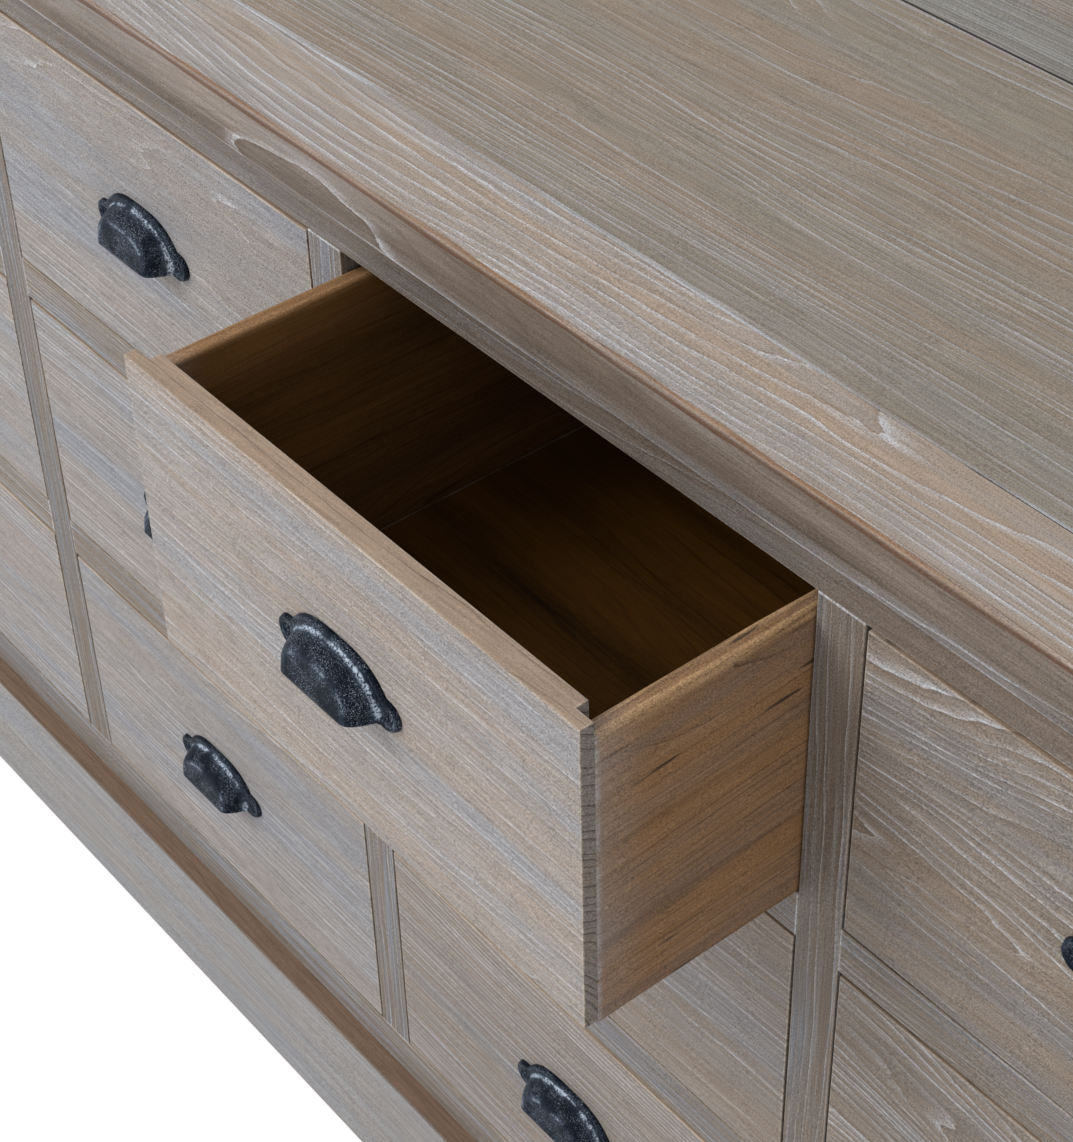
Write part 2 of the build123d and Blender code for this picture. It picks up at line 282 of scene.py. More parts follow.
class Rise:
    """Where each pattern or mark begins and ends to show, and from what to what it then rises."""

    END_GRAIN = (0.6, 0.9)
    LATE_RINGS = (0.0, 0.7, 0.4, 1.0)
    COOL_HUES = (0.48, 0.64)
    WARM_HUES = (0.52, 0.36)
    BARE_HUES = (0.56, 0.45)
    STREAKS = (0.52, 0.68)
    FLECKS = (0.72, 0.78)
    SKIPPED_RINGS = (0.6, 0.48)
    CUT_RINGS = (0.02, 0.12)
    LIMED_STRANDS = (0.35, 0.6, 0.45, 1.0)
    LIMED_SPECKLES = (0.3, 0.6, 0.65, 1.0)
    HAZE_STRANDS = (0.45, 0.7)
    # Where the painted arris shade shows.
    ARRIS_SHADE_PATCHES = (0.36, 0.58, 0.5, 1.0)
    ARRIS_SHADE_MARKS = (0.25, 0.9, 0.0, 0.85)
    RUBBED_MARKS = (0.2, 0.9)
    RUBBED_STRANDS = (0.38, 0.58, 0.3, 0.95)
    FILM_MARKS = (0.0, 0.3)
    FILM_PATCHES = (0.36, 0.6, 0.15, 0.42)
    FILLER_MARKS = (0.3, 0.9)
    FILLER_STRANDS = (0.36, 0.52, 0.2, 0.85)
    CRACK_MARKS = (-0.6, -0.95)
    DUST_SPECKS = (0.5, 0.66)
    DUST_CLOUDS = (0.42, 0.62)
    # Where the pull's rub and painted highlight show, and where painted glints lie on them.
    RUB_AND_HIGHLIGHT_CLOUDS = (0.36, 0.6, 0.3, 1.0)
    RUB_AND_HIGHLIGHT_SPECKS = (0.3, 0.6, 0.4, 1.0)
    GLINT_SPECKS = (0.4, 0.56)
    GLINT_HIGHLIGHT_BANDS = (0.4, 0.9, 0.0, 0.9)
    SPARK_GRIT = (0.58, 0.7)
    SPARK_CLOUDS = (0.36, 0.6, 0.1, 0.75)


@dataclass(frozen=True)
class Spot:
    """What a wood finish knows of a point: a socket or a plain value for each.

    It holds the place in the log, the end grain, the board's number, the marks of wear, joint and
    bare wood, the way since the last ring, the ring's number, how squarely the surface cuts it and
    its dark late wood, and then the patterns from the finest to the broadest.
    """

    place: object
    end: object
    board: object
    worn: object
    joint: object
    bare: object
    since: object
    own: object
    slant: object
    late: object
    fibre: object
    speckle: object
    strand: object
    patch: object
    hue: object


@dataclass(frozen=True)
class WoodFinish:
    """Wood with growth rings, fibres, lime in its pores and wear along its arrises."""

    name: str
    early: Colour
    late: Colour
    cool: Colour
    warm: Colour
    lime: Colour
    worn: Colour
    bare: Colour
    ring_pitch: float = 0.0036
    sway: float = 0.036
    late_amount: float = 0.35
    late_width: float = 0.0012
    end_late: float = 0.45
    end_tone: float = 0.72
    hue_strands: float = 0.2
    cool_amount: float = 0.55
    warm_amount: float = 0.5
    lime_amount: float = 0.75
    lime_width: float = 0.0012
    lime_patch: tuple[float, float] = (0.42, 0.66)
    lime_least: float = 0.25
    haze: float = 0.08
    fibre: float = 0.9
    speckle: float = 2.1
    strands: float = 0.2
    streak: float = 0.0
    flecks: float = 0.0
    bare_cover: float = 0.85
    bare_lime: float = 0.15
    bare_speckle: float = 0.45
    bare_blotch: float = 0.0
    bare_thin: float = 1.0
    arris_shade: float = 0.0
    roughness: float = 0.62
    specular: float = 0.3
    relief: float = 0.35
    along: Axis | None = None

    def place(self, graph: Graph) -> tuple[object, object, object, object, object]:
        """Finds where on its board a point is.

        Args:
            graph: The material's graph.

        Returns:
            The place along, across and through the board, the way the surface faces there, whether
            it is end grain, the board's own number and the marks of wear, joint and bare wood.
        """
        if self.along is None:
            names = ("grain", "facing", "board", "dress")
            read = [graph.node("ShaderNodeAttribute", attribute_name=name).outputs for name in names]
            grain, facing, dress = read[0]["Vector"], read[1]["Vector"], read[3]["Vector"]
            lengthwise = graph.node("ShaderNodeSeparateXYZ", facing).outputs[0]
            end = graph.step(graph.math("ABSOLUTE", lengthwise), *Rise.END_GRAIN)
            return grain, facing, end, read[2]["Fac"], dress
        whole = graph.node("ShaderNodeTexCoord").outputs["Object"]
        parts = graph.node("ShaderNodeSeparateXYZ", whole).outputs
        u, v = self.along.others
        across = graph.math("ADD", parts[u], PLAIN_OFFSET)
        board = graph.math("FLOOR", graph.times(parts[u], PLAIN_BOARDS))
        grain = graph.node("ShaderNodeCombineXYZ", parts[self.along.value], across, parts[v]).outputs[0]
        return grain, (1.0, 0.0, 0.0), 0.0, board, (0.0, 0.0, 0.0)

    def rings(
        self, graph: Graph, place: object, facing: object
    ) -> tuple[object, object, object, object]:
        """Draws the growth rings as wandering tubes round the pith.

        Args:
            graph: The material's graph.
            place: The place in the log.
            facing: The way the surface faces, in the log's directions.

        Returns:
            The way along the surface since the last ring began, the way until the next one does,
            the ring's own number and how squarely the surface cuts the rings.
        """
        sway = graph.drift(place, SWAY_WAVES, 2.0)
        ripple = graph.drift(place, RIPPLE_WAVES, 4.0)
        moved = graph.vector("MULTIPLY_ADD", sway, (0.0, self.sway, self.sway), place)
        moved = graph.vector("MULTIPLY_ADD", ripple, (0.0, RIPPLE, RIPPLE), moved)
        flat = graph.vector("MULTIPLY", moved, (0.0, 1.0, 1.0))
        radius = graph.length(flat)
        slant = graph.length(graph.vector("CROSS_PRODUCT", flat, facing))
        slant = graph.math("MAXIMUM", graph.math("DIVIDE", slant, radius), LEAST_SLANT)
        uneven = graph.node(
            "ShaderNodeTexNoise", None, radius, UNEVEN_WAVES, 1.0, 0.6, noise_dimensions="1D"
        ).outputs[0]
        count = graph.times_plus(uneven, UNEVEN_RINGS, graph.math("DIVIDE", radius, self.ring_pitch))
        own = graph.chance(graph.math("FLOOR", count))
        phase = graph.math("SUBTRACT", graph.math("FRACT", count), graph.times(own, RING_SHIFT))
        phase = graph.math("FRACT", graph.math("ADD", phase, 1.0))
        since = graph.math("DIVIDE", graph.times(phase, self.ring_pitch), slant)
        until = graph.math("SUBTRACT", graph.math("DIVIDE", self.ring_pitch, slant), since)
        return since, until, own, slant

    def read(self, graph: Graph) -> Spot:
        """Reads all that the finish needs to know of a point.

        Args:
            graph: The material's graph.

        Returns:
            The point's place, marks and patterns.
        """
        grain, facing, end, board, dress = self.place(graph)
        place = graph.vector("ADD", grain, graph.vector("MULTIPLY", board, BOARD_SHIFT))
        since, until, own, slant = self.rings(graph, place, facing)
        worn, joint, bare = graph.node("ShaderNodeSeparateXYZ", dress).outputs
        late = graph.times(graph.step(until, self.late_width, 0.0), graph.step(own, *Rise.LATE_RINGS))
        strand = graph.noise(place, STRAND_WAVES, 2.0)
        far = graph.noise(graph.vector("ADD", place, HUE_SHIFT), HUE_WAVES, 3.0)
        return Spot(
            place=place,
            end=end,
            board=board,
            worn=worn,
            joint=joint,
            bare=bare,
            since=since,
            own=own,
            slant=slant,
            late=late,
            fibre=graph.noise(place, FIBRE_WAVES, 2.0),
            speckle=graph.noise(place, SPECKLE_WAVES, 1.0),
            strand=strand,
            patch=graph.noise(place, PATCH_WAVES, 3.0),
            hue=graph.times_plus(strand, self.hue_strands, graph.times(far, 1.0 - self.hue_strands)),
        )

    def raw(self, graph: Graph, spot: Spot) -> object:
        """Colours the wood before it is limed.

        Args:
            graph: The material's graph.
            spot: What is known of the point.

        Returns:
            The colour.
        """
        colour = graph.mix(graph.times(spot.late, self.late_amount), self.early, self.late)
        cool = graph.times(graph.step(spot.hue, *Rise.COOL_HUES), self.cool_amount)
        cool = graph.times(cool, graph.times_plus(spot.end, -END_LOSS, 1.0))
        colour = graph.mix(cool, colour, self.cool)
        warm = graph.times(graph.step(spot.hue, *Rise.WARM_HUES), self.warm_amount)
        colour = graph.mix(warm, colour, self.warm)
        if self.streak:
            dark = graph.step(graph.noise(spot.place, STREAK_WAVES, 4.0), *Rise.STREAKS)
            colour = graph.mix(graph.times(dark, self.streak), colour, self.late)
        if self.flecks:
            dash = graph.step(graph.noise(spot.place, FLECK_WAVES, 1.0), *Rise.FLECKS)
            colour = graph.mix(graph.times(dash, self.flecks), colour, FLECK)
        cover = graph.times(spot.bare, graph.step(spot.hue, *Rise.BARE_HUES, self.bare_thin, 1.0))
        bare = graph.scaled(self.bare[:3], graph.times_plus(spot.late, -LATE_LOSS, 1.0))
        return graph.mix(graph.times(cover, self.bare_cover), colour, bare)

    def limed(self, graph: Graph, spot: Spot, colour: object) -> tuple[object, object]:
        """Lays lime into the pores behind each ring, and a thin haze over all.

        Args:
            graph: The material's graph.
            spot: What is known of the point.
            colour: The wood's colour.

        Returns:
            The limed colour and how thick the lime lies.
        """
        kept = graph.times_plus(spot.bare, self.bare_lime - 1.0, 1.0)
        kept = graph.times(kept, graph.times_plus(spot.end, -END_LOSS, 1.0))
        skipped = graph.times(spot.bare, graph.step(spot.own, *Rise.SKIPPED_RINGS))
        kept = graph.times(kept, graph.math("SUBTRACT", 1.0, skipped))
        width = self.lime_width
        core = graph.step(spot.since, 0.7 * width, 0.3 * width)
        wash = graph.step(spot.since, 1.8 * width, 0.5 * width, 0.0, 0.5)
        white = graph.times(graph.math("MAXIMUM", core, wash), graph.step(spot.slant, *Rise.CUT_RINGS))
        low, high = (place + PATCH_SHIFT for place in self.lime_patch)
        gathered = graph.times_plus(spot.own, OWN_LIME, spot.patch)
        spots = graph.step(gathered, low, high, self.lime_least, 1.0)
        lime = graph.times(graph.times(white, spots), kept)
        lime = graph.times(lime, graph.step(spot.strand, *Rise.LIMED_STRANDS))
        lime = graph.times(lime, graph.step(spot.speckle, *Rise.LIMED_SPECKLES))
        haze = graph.times(graph.step(spot.strand, *Rise.HAZE_STRANDS), self.haze)
        colour = graph.mix(graph.times(haze, kept), colour, self.lime)
        return graph.mix(graph.times(lime, self.lime_amount), colour, self.lime), lime

    def used(self, graph: Graph, spot: Spot, colour: object) -> object:
        """Rubs the arrises, paints shade on their lower, front-facing side, and fills or opens the
        joints.

        Args:
            graph: The material's graph.
            spot: What is known of the point.
            colour: The colour as finished.

        Returns:
            The colour after use.
        """
        # Painted shade: where a worn arris turns to the bare front face it is darkened in patches, and
        # its rubbed colour held back.
        arris_shaded = graph.times(graph.times(spot.worn, spot.bare), self.arris_shade)
        arris_shaded = graph.times(arris_shaded, graph.step(spot.patch, *Rise.ARRIS_SHADE_PATCHES))
        rubbed = graph.step(graph.math("SUBTRACT", spot.worn, arris_shaded), *Rise.RUBBED_MARKS)
        rubbed = graph.times(rubbed, graph.step(spot.strand, *Rise.RUBBED_STRANDS))
        colour = graph.mix(rubbed, colour, self.worn)
        colour = graph.mix(graph.step(arris_shaded, *Rise.ARRIS_SHADE_MARKS), colour, ARRIS_SHADE)
        film = graph.step(spot.joint, *Rise.FILM_MARKS)
        film = graph.times(film, graph.step(spot.patch, *Rise.FILM_PATCHES))
        colour = graph.mix(film, colour, self.lime)
        filler = graph.step(spot.joint, *Rise.FILLER_MARKS)
        filler = graph.times(filler, graph.step(spot.strand, *Rise.FILLER_STRANDS))
        colour = graph.mix(filler, colour, self.lime)
        return graph.mix(graph.step(spot.joint, *Rise.CRACK_MARKS), colour, CRACK)

    def shade(self, graph: Graph, spot: Spot) -> object:
        """Finds how light the wood is from fibre to fibre and from board to board.

        Args:
            graph: The material's graph.
            spot: What is known of the point.

        Returns:
            The factor on the colour.
        """
        middle = MIDDLE_SHADE - (self.fibre + self.strands) / 2
        shade = graph.times_plus(graph.chance(spot.board), BOARD_SHADE, middle)
        shade = graph.times_plus(spot.fibre, self.fibre, shade)
        shade = graph.times_plus(spot.strand, self.strands, shade)
        grit = graph.times(graph.math("SUBTRACT", spot.speckle, 0.5), self.speckle)
        shown = graph.times_plus(spot.bare, self.bare_speckle - 1.0, 1.0)
        shade = graph.times_plus(grit, shown, shade)
        blotch = graph.times(graph.math("SUBTRACT", spot.patch, 0.5), self.bare_blotch)
        shade = graph.times_plus(blotch, spot.bare, shade)
        dark = graph.times_plus(spot.late, -self.end_late, self.end_tone - 1.0)
        return graph.times(shade, graph.times_plus(spot.end, dark, 1.0))

    def build(self) -> bpy.types.Material:
        """Makes the finish.

        Returns:
            Its material.
        """
        material, graph, shader = new_material(self.name)
        spot = self.read(graph)
        colour, lime = self.limed(graph, spot, self.raw(graph, spot))
        colour = graph.scaled(self.used(graph, spot, colour), self.shade(graph, spot))
        graph.feed(shader.inputs["Base Color"], colour)
        rough = graph.times_plus(lime, 0.12, self.roughness - 0.04)
        graph.feed(shader.inputs["Roughness"], graph.times_plus(spot.fibre, 0.08, rough))
        shader.inputs["Specular IOR Level"].default_value = self.specular
        height = graph.times_plus(spot.fibre, 0.5, graph.times(spot.late, 0.6))
        height = graph.times_plus(spot.strand, 0.25, height)
        graph.relief(shader, height, self.relief, WOOD_RELIEF)
        return material


LIMED = WoodFinish(
    name="limed_front_wood",
    early=srgb(167, 157, 150),
    late=srgb(120, 106, 96),
    cool=srgb(151, 156, 165),
    warm=srgb(178, 158, 142),
    lime=srgb(212, 213, 218),
    worn=srgb(206, 190, 172),
    bare=srgb(178, 152, 129),
    late_amount=0.6,
)
LIMED_COOLER = replace(
    LIMED,
    name="limed_cooler_front_wood",
    early=srgb(156, 151, 149),
    cool=srgb(142, 149, 162),
    warm=srgb(164, 150, 140),
)
# The right column's darker tone is partly painted shade where less light falls.
LIMED_DARK = replace(
    LIMED,
    name="limed_darker_front_wood",
    early=srgb(148, 135, 123),
    late=srgb(104, 88, 76),
    cool=srgb(126, 127, 131),
    warm=srgb(154, 132, 112),
    sway=0.12,
    lime_amount=0.95,
    lime_width=0.0014,
    lime_patch=(0.4, 0.56),
)
# The middling tone below the open drawer is partly painted shade under it.
LIMED_MIDDLING = replace(
    LIMED,
    name="limed_middling_front_wood",
    early=srgb(144, 134, 126),
    late=srgb(108, 94, 82),
    cool=srgb(132, 134, 140),
    warm=srgb(152, 133, 116),
)
LIMED_FRAME = replace(
    LIMED,
    name="limed_frame_wood",
    early=srgb(134, 124, 114),
    late=srgb(92, 80, 70),
    cool=srgb(118, 122, 132),
    warm=srgb(134, 114, 94),
    bare=srgb(120, 96, 72),
    ring_pitch=0.003,
    hue_strands=0.55,
    late_amount=0.5,
    lime_amount=0.6,
    lime_patch=(0.4, 0.6),
    lime_width=0.0009,
    cool_amount=0.8,
)
LIMED_STILE = replace(
    LIMED_FRAME,
    name="limed_stile_wood",
    early=srgb(126, 117, 109),
    cool=srgb(110, 116, 128),
    warm=srgb(126, 106, 88),
)
# The top rail's darker, less limed tone is partly painted shade from the top's overhang.
SHADED_LIMED_RAIL = replace(
    LIMED_FRAME,
    name="limed_top_rail_wood",
    early=srgb(120, 109, 100),
    late=srgb(84, 72, 62),
    cool=srgb(106, 106, 110),
    warm=srgb(130, 108, 90),
    ring_pitch=0.0045,
    sway=0.07,
    hue_strands=0.25,
    cool_amount=0.5,
    lime_amount=0.3,
    lime_patch=(0.5, 0.7),
    lime_least=0.0,
)
LIMED_TOP = replace(
    LIMED,
    name="limed_top_front_board",
    early=srgb(180, 163, 148),
    late=srgb(138, 115, 95),
    cool=srgb(166, 166, 170),
    warm=srgb(192, 165, 142),
    lime=srgb(214, 215, 220),
    worn=srgb(148, 114, 86),
    bare=srgb(50, 40, 35),
    bare_cover=0.62,
    bare_lime=0.9,
    bare_speckle=1.0,
    bare_blotch=1.8,
    bare_thin=0.66,
    # Painted shade on the lower side of the front arris.
    arris_shade=1.0,
    ring_pitch=0.0041,
    sway=0.06,
    speckle=1.4,
    lime_amount=0.95,
    lime_width=0.0014,
    lime_patch=(0.24, 0.44),
    lime_least=0.5,
)
LIMED_TOP_MIDDLE = replace(
    LIMED_TOP,
    name="limed_top_middle_board",
    early=srgb(152, 141, 127),
    late=srgb(120, 106, 91),
    cool=srgb(147, 144, 137),
    warm=srgb(164, 141, 122),
    lime=srgb(198, 200, 206),
    ring_pitch=0.0038,
    sway=0.05,
    lime_amount=0.8,
    lime_width=0.0011,
    lime_patch=(0.4, 0.58),
    lime_least=0.2,
)
LIMED_TOP_REAR = replace(
    LIMED_TOP_MIDDLE,
    name="limed_top_rear_board",
    early=srgb(138, 133, 126),
    late=srgb(112, 104, 96),
    lime=srgb(188, 190, 192),
    ring_pitch=0.0026,
)
LIMED_PLINTH = replace(
    LIMED,
    name="limed_plinth_wood",
    early=srgb(155, 153, 153),
    late=srgb(132, 123, 115),
    cool=srgb(145, 150, 160),
    warm=srgb(160, 149, 140),
    bare=srgb(132, 106, 86),
    worn=srgb(104, 80, 60),
    bare_cover=0.95,
    bare_lime=0.0,
    lime_amount=0.3,
)
NATURAL = WoodFinish(
    name="natural_drawer_wood",
    early=srgb(152, 117, 84),
    late=srgb(70, 42, 20),
    cool=srgb(134, 110, 94),
    warm=srgb(160, 118, 76),
    lime=srgb(176, 170, 168),
    worn=srgb(190, 154, 114),
    # The drawers' inside colour: a darker inner wood, deepened as painted shade inside the box.
    bare=srgb(96, 62, 16),
    bare_cover=1.0,
    bare_blotch=2.4,
    ring_pitch=0.0052,
    sway=0.08,
    late_amount=0.95,
    late_width=0.001,
    hue_strands=0.1,
    cool_amount=0.6,
    warm_amount=0.6,
    lime_amount=0.06,
    lime_least=0.0,
    haze=0.04,
    strands=0.4,
    streak=0.3,
    flecks=0.85,
    relief=0.2,
    roughness=0.55,
)
INNER = WoodFinish(
    name="inner_wood",
    early=srgb(150, 118, 82),
    late=srgb(112, 78, 46),
    cool=srgb(132, 112, 90),
    warm=srgb(160, 120, 80),
    lime=srgb(160, 146, 128),
    worn=srgb(170, 136, 98),
    bare=srgb(150, 118, 82),
    ring_pitch=0.005,
    lime_amount=0.1,
    haze=0.1,
    roughness=0.7,
)
FILLER = replace(NATURAL, name="pale_pin_filler", early=srgb(176, 158, 138), warm=srgb(184, 160, 134))


@dataclass(frozen=True)
class IronFinish:
    """Blackened cast iron, rubbed bright where hands and cloths reach, with painted highlights and
    glints.
    """

    name: str = "blackened_cast_iron"
    black: Colour = srgb(18, 24, 36)
    grey: Colour = srgb(78, 90, 108)
    # The colour of the painted glints and of bright specks.
    pale: Colour = srgb(214, 228, 246)
    cloud_waves: float = 75.0
    speck_waves: float = 900.0
    grit_waves: float = 2200.0
    dust: float = 0.45
    specular: float = 0.03

    def build(self) -> bpy.types.Material:
        """Makes the finish.

        Returns:
            Its material.
        """
        material, graph, shader = new_material(self.name)
        place = graph.node("ShaderNodeTexCoord").outputs["Object"]
        # Rub and painted highlight: grey bands and pale glints painted where light would catch the
        # casting, over some real wear.
        rub_and_highlight = graph.node("ShaderNodeAttribute", attribute_name="rub_and_highlight").outputs["Fac"]
        cloud = graph.noise(place, (self.cloud_waves,) * 3, 3.0)
        speck = graph.noise(place, (self.speck_waves,) * 3, 3.0)
        grit = graph.noise(place, (self.grit_waves,) * 3, 2.0)
        dust = graph.times(graph.step(speck, *Rise.DUST_SPECKS), graph.step(cloud, *Rise.DUST_CLOUDS))
        rub_and_highlight_band = graph.times(rub_and_highlight, graph.step(cloud, *Rise.RUB_AND_HIGHLIGHT_CLOUDS))
        grey = graph.times_plus(rub_and_highlight_band, graph.step(speck, *Rise.RUB_AND_HIGHLIGHT_SPECKS), graph.times(dust, self.dust))
        colour = graph.mix(grey, self.black, self.grey)
        # Painted glints on the brightest parts of the painted highlight bands.
        glint = graph.times(graph.step(speck, *Rise.GLINT_SPECKS), graph.step(rub_and_highlight_band, *Rise.GLINT_HIGHLIGHT_BANDS))
        spark = graph.times(graph.step(grit, *Rise.SPARK_GRIT), graph.step(cloud, *Rise.SPARK_CLOUDS))
        colour = graph.mix(graph.math("MAXIMUM", glint, spark), colour, self.pale)
        graph.feed(shader.inputs["Base Color"], colour)
        graph.feed(shader.inputs["Roughness"], graph.times_plus(speck, 0.25, 0.28))
        shader.inputs["Specular IOR Level"].default_value = self.specular
        graph.relief(shader, graph.times_plus(grit, 0.35, speck), 0.5, IRON_RELIEF)
        return material


class Finishes:
    """Makes each finish once and hands out its material."""

    def __init__(self) -> None:
        """Starts with no material made."""
        self.made: dict[str, bpy.types.Material] = {}

    def of(self, finish: WoodFinish | IronFinish) -> bpy.types.Material:
        """The material of a finish, made when it is first asked for."""
        if finish.name not in self.made:
            self.made[finish.name] = finish.build()
        return self.made[finish.name]


FINISHES = Finishes()


@dataclass(frozen=True)
class Edge:
    """An arris: its rounding, its wear, the lime in a joint at it and where a crack begins."""

    radius: float = 0.0008
    worn: float = 0.0
    limed: float = 0.0
    crack_from: float = math.inf

    def joint(self, place: float) -> float:
        """The joint's mark at a place along the board: above zero limed, below zero open."""
        return -1.0 if place > self.crack_from else self.limed


CRISP = Edge(0.0004)
FAINT = Edge(0.0008, worn=0.4)
FILLED = Edge(0.0004, limed=1.0)
SEAM = Edge(0.0004, limed=0.55)


@dataclass(frozen=True)
class Corner:
    """One corner of a board's section."""

    u: float
    v: float
    edge: Edge = FAINT


@dataclass(frozen=True)
class Cut:
    """Where a board lay in its log."""

    grain: Axis
    face: Axis
    sawing: Sawing = Sawing.RIFT
    lean: float = 0.02

    @property
    def axes(self) -> list[int]:
        """The frame's axes that run along the board, across it and through its face."""
        grain, face = self.grain.value, self.face.value
        return [grain, 3 - grain - face, face]


def rectangle(
    lo: Vector, hi: Vector, run: Axis, edge: Edge, at: dict[tuple[int, int, int], Edge] | None = None
) -> list[Corner]:
    """The section of a squared board.

    Args:
        lo: The board's lowest corner.
        hi: The board's highest corner.
        run: The axis that the section is drawn along.
        edge: The arris of every corner that isn't named.
        at: Arrises of single corners, by the side of the board that they lie on along X, Y, Z.

    Returns:
        The four corners, in order round the run.
    """
    u, v = run.others
    corners = []
    for side_u, side_v in ((-1, -1), (1, -1), (1, 1), (-1, 1)):
        sides = [0, 0, 0]
        sides[u], sides[v] = side_u, side_v
        chosen = (at or {}).get(tuple(sides), edge)
        corners.append(Corner((hi if side_u > 0 else lo)[u], (hi if side_v > 0 else lo)[v], chosen))
    return corners


def section_of(*corners: tuple[float, float, Edge]) -> list[Corner]:
    """A section from the place and arris of each of its corners."""
    return [Corner(*corner) for corner in corners]


@dataclass
class Board:
    """A board: a section drawn along a line, with rounded arrises, rounded ends and its grain."""

    name: str
    section: Sequence[Corner]
    run: Axis
    start: float
    stop: float
    cut: Cut
    end: Edge = FAINT
    bare: tuple[float, float, float] = (0.0, 0.0, 0.0)
    arc_steps: int = 3
    fade: float = 0.0009
    haze: float = 0.0
    station_step: float = 0.03
    wander: float = 0.3
    wave_turn: float = 6.3
    long_waves: float = 41
    short_waves: float = 97
    least_radius: float = 0.00005
    bare_gain: float = 2.2
    bare_from: float = 0.95
    log_length: float = 40

    def turns(self) -> list[tuple[np.ndarray, np.ndarray]]:
        """Finds which way the sides face.

        Returns:
            The outward directions of the two sides that meet at each corner.
        """
        points = np.array([(c.u, c.v) for c in self.section])
        along = np.roll(points, -1, 0) - points
        along /= np.linalg.norm(along, axis=1)[:, None]
        out = np.stack([along[:, 1], -along[:, 0]], 1)
        return [(out[i - 1], out[i]) for i in range(len(points))]

    def outline(self, place: float, inset: float, swell: Sequence[float]) -> tuple[np.ndarray, ...]:
        """The section's outline at a place along the board, drawn in by an inset.

        Args:
            place: Where along the board it lies.
            inset: How far the outline is drawn in.
            swell: A factor on each corner's rounding.

        Returns:
            The points, their outward directions and their marks of wear, joint and bare wood.
        """
        arcs, ways, marks = [], [], []
        for corner, (before, after), factor in zip(self.section, self.turns(), swell):
            convex = before[0] * after[1] - before[1] * after[0] > 0
            radius = corner.edge.radius * factor
            radius = max(radius - inset, self.least_radius) if convex else radius + inset
            span = 1 + before @ after
            tip = np.array((corner.u, corner.v)) - inset * (before + after) / span
            sign = 1 if convex else -1
            centre = tip - sign * radius * (before + after) / span
            first, last = math.atan2(before[1], before[0]), math.atan2(after[1], after[0])
            last += 2 * math.pi * round((first - last) / (2 * math.pi))
            angles = np.linspace(first, last, self.arc_steps)
            way = np.stack([np.cos(angles), np.sin(angles)], 1)
            arcs.append(centre + sign * radius * way)
            ways.append(way)
            marks.append((corner.edge.worn, corner.edge.joint(place), 0.0))
        points, outs, dress = [], [], []
        for i, arc in enumerate(arcs):
            nearest = arcs[(i + 1) % len(arcs)][0]
            length = np.linalg.norm(nearest - arc[-1])
            share = min(self.fade, 0.3 * length) / max(length, 1e-9)
            faded = (arc[-1] + share * (nearest - arc[-1]), nearest + share * (arc[-1] - nearest))
            points += [*arc, *faded]
            outs += [*ways[i], ways[i][-1], ways[i][-1]]
            dress += [marks[i]] * len(arc) + [(0.0, 0.0, 0.0)] * 2
        return np.array(points), np.array(outs), np.array(dress)

    def stations(self) -> Iterator[tuple[float, float, float, float]]:
        """Goes along the board from end to end.

        Yields:
            A place, how far the outline is drawn in there, how far it turns towards the end, and
            one where the end's wear shows.
        """
        radius = self.end.radius
        following = [*self.section[1:], self.section[0]]
        shortest = min(math.hypot(a.u - b.u, a.v - b.v) for a, b in zip(self.section, following))
        closed = radius + min(self.fade, 0.2 * shortest)
        turns = [math.radians(a) for a in np.linspace(90, 0, self.arc_steps)]
        yield self.start, closed, math.pi / 2, 0.0
        for turn in turns:
            yield self.start + radius * (1 - math.sin(turn)), radius * (1 - math.cos(turn)), turn, 1.0
        margin = radius + min(self.fade, 0.3 * (self.stop - self.start - 2 * radius))
        count = max(1, round((self.stop - self.start - 2 * margin) / self.station_step))
        for place in np.linspace(self.start + margin, self.stop - margin, count + 1):
            yield float(place), 0.0, 0.0, 0.0
        for turn in reversed(turns):
            yield self.stop - radius * (1 - math.sin(turn)), radius * (1 - math.cos(turn)), -turn, 1.0
        yield self.stop, closed, -math.pi / 2, 0.0

    def mesh(self) -> bpy.types.Mesh:
        """Makes the board.

        Returns:
            Its mesh, with its normals, grain, number and marks.
        """
        dice = random.Random(self.name)
        whole = self.wave_turn
        tune = [(dice.uniform(0, whole), dice.uniform(0, whole)) for _ in self.section]
        across, along = list(self.run.others), self.run.value
        rings, outs, dress = [], [], []
        for place, inset, turn, at_end in self.stations():
            long, short = place * self.long_waves, place * self.short_waves
            waves = [0.6 * math.sin(long + a) + 0.4 * math.sin(short + b) for a, b in tune]
            flat, way, marks = self.outline(place, inset, [1 + self.wander * wave for wave in waves])
            ring = np.zeros((len(flat), 3))
            ring[:, across] = flat
            ring[:, along] = place
            out = np.zeros_like(ring)
            out[:, across] = way * math.cos(turn)
            out[:, along] = -math.sin(turn)
            if at_end:
                marks[:, :2] = np.maximum(marks[:, :2], (self.end.worn, self.end.limed))
            elif turn:
                marks[:] = 0.0
            elif place - self.start < self.station_step / 2:
                marks[:, 1] = np.maximum(marks[:, 1], self.haze)
            rings.append(ring)
            outs.append(out)
            dress.append(marks)
        return self.assemble(np.array(rings), np.array(outs), np.array(dress), dice)

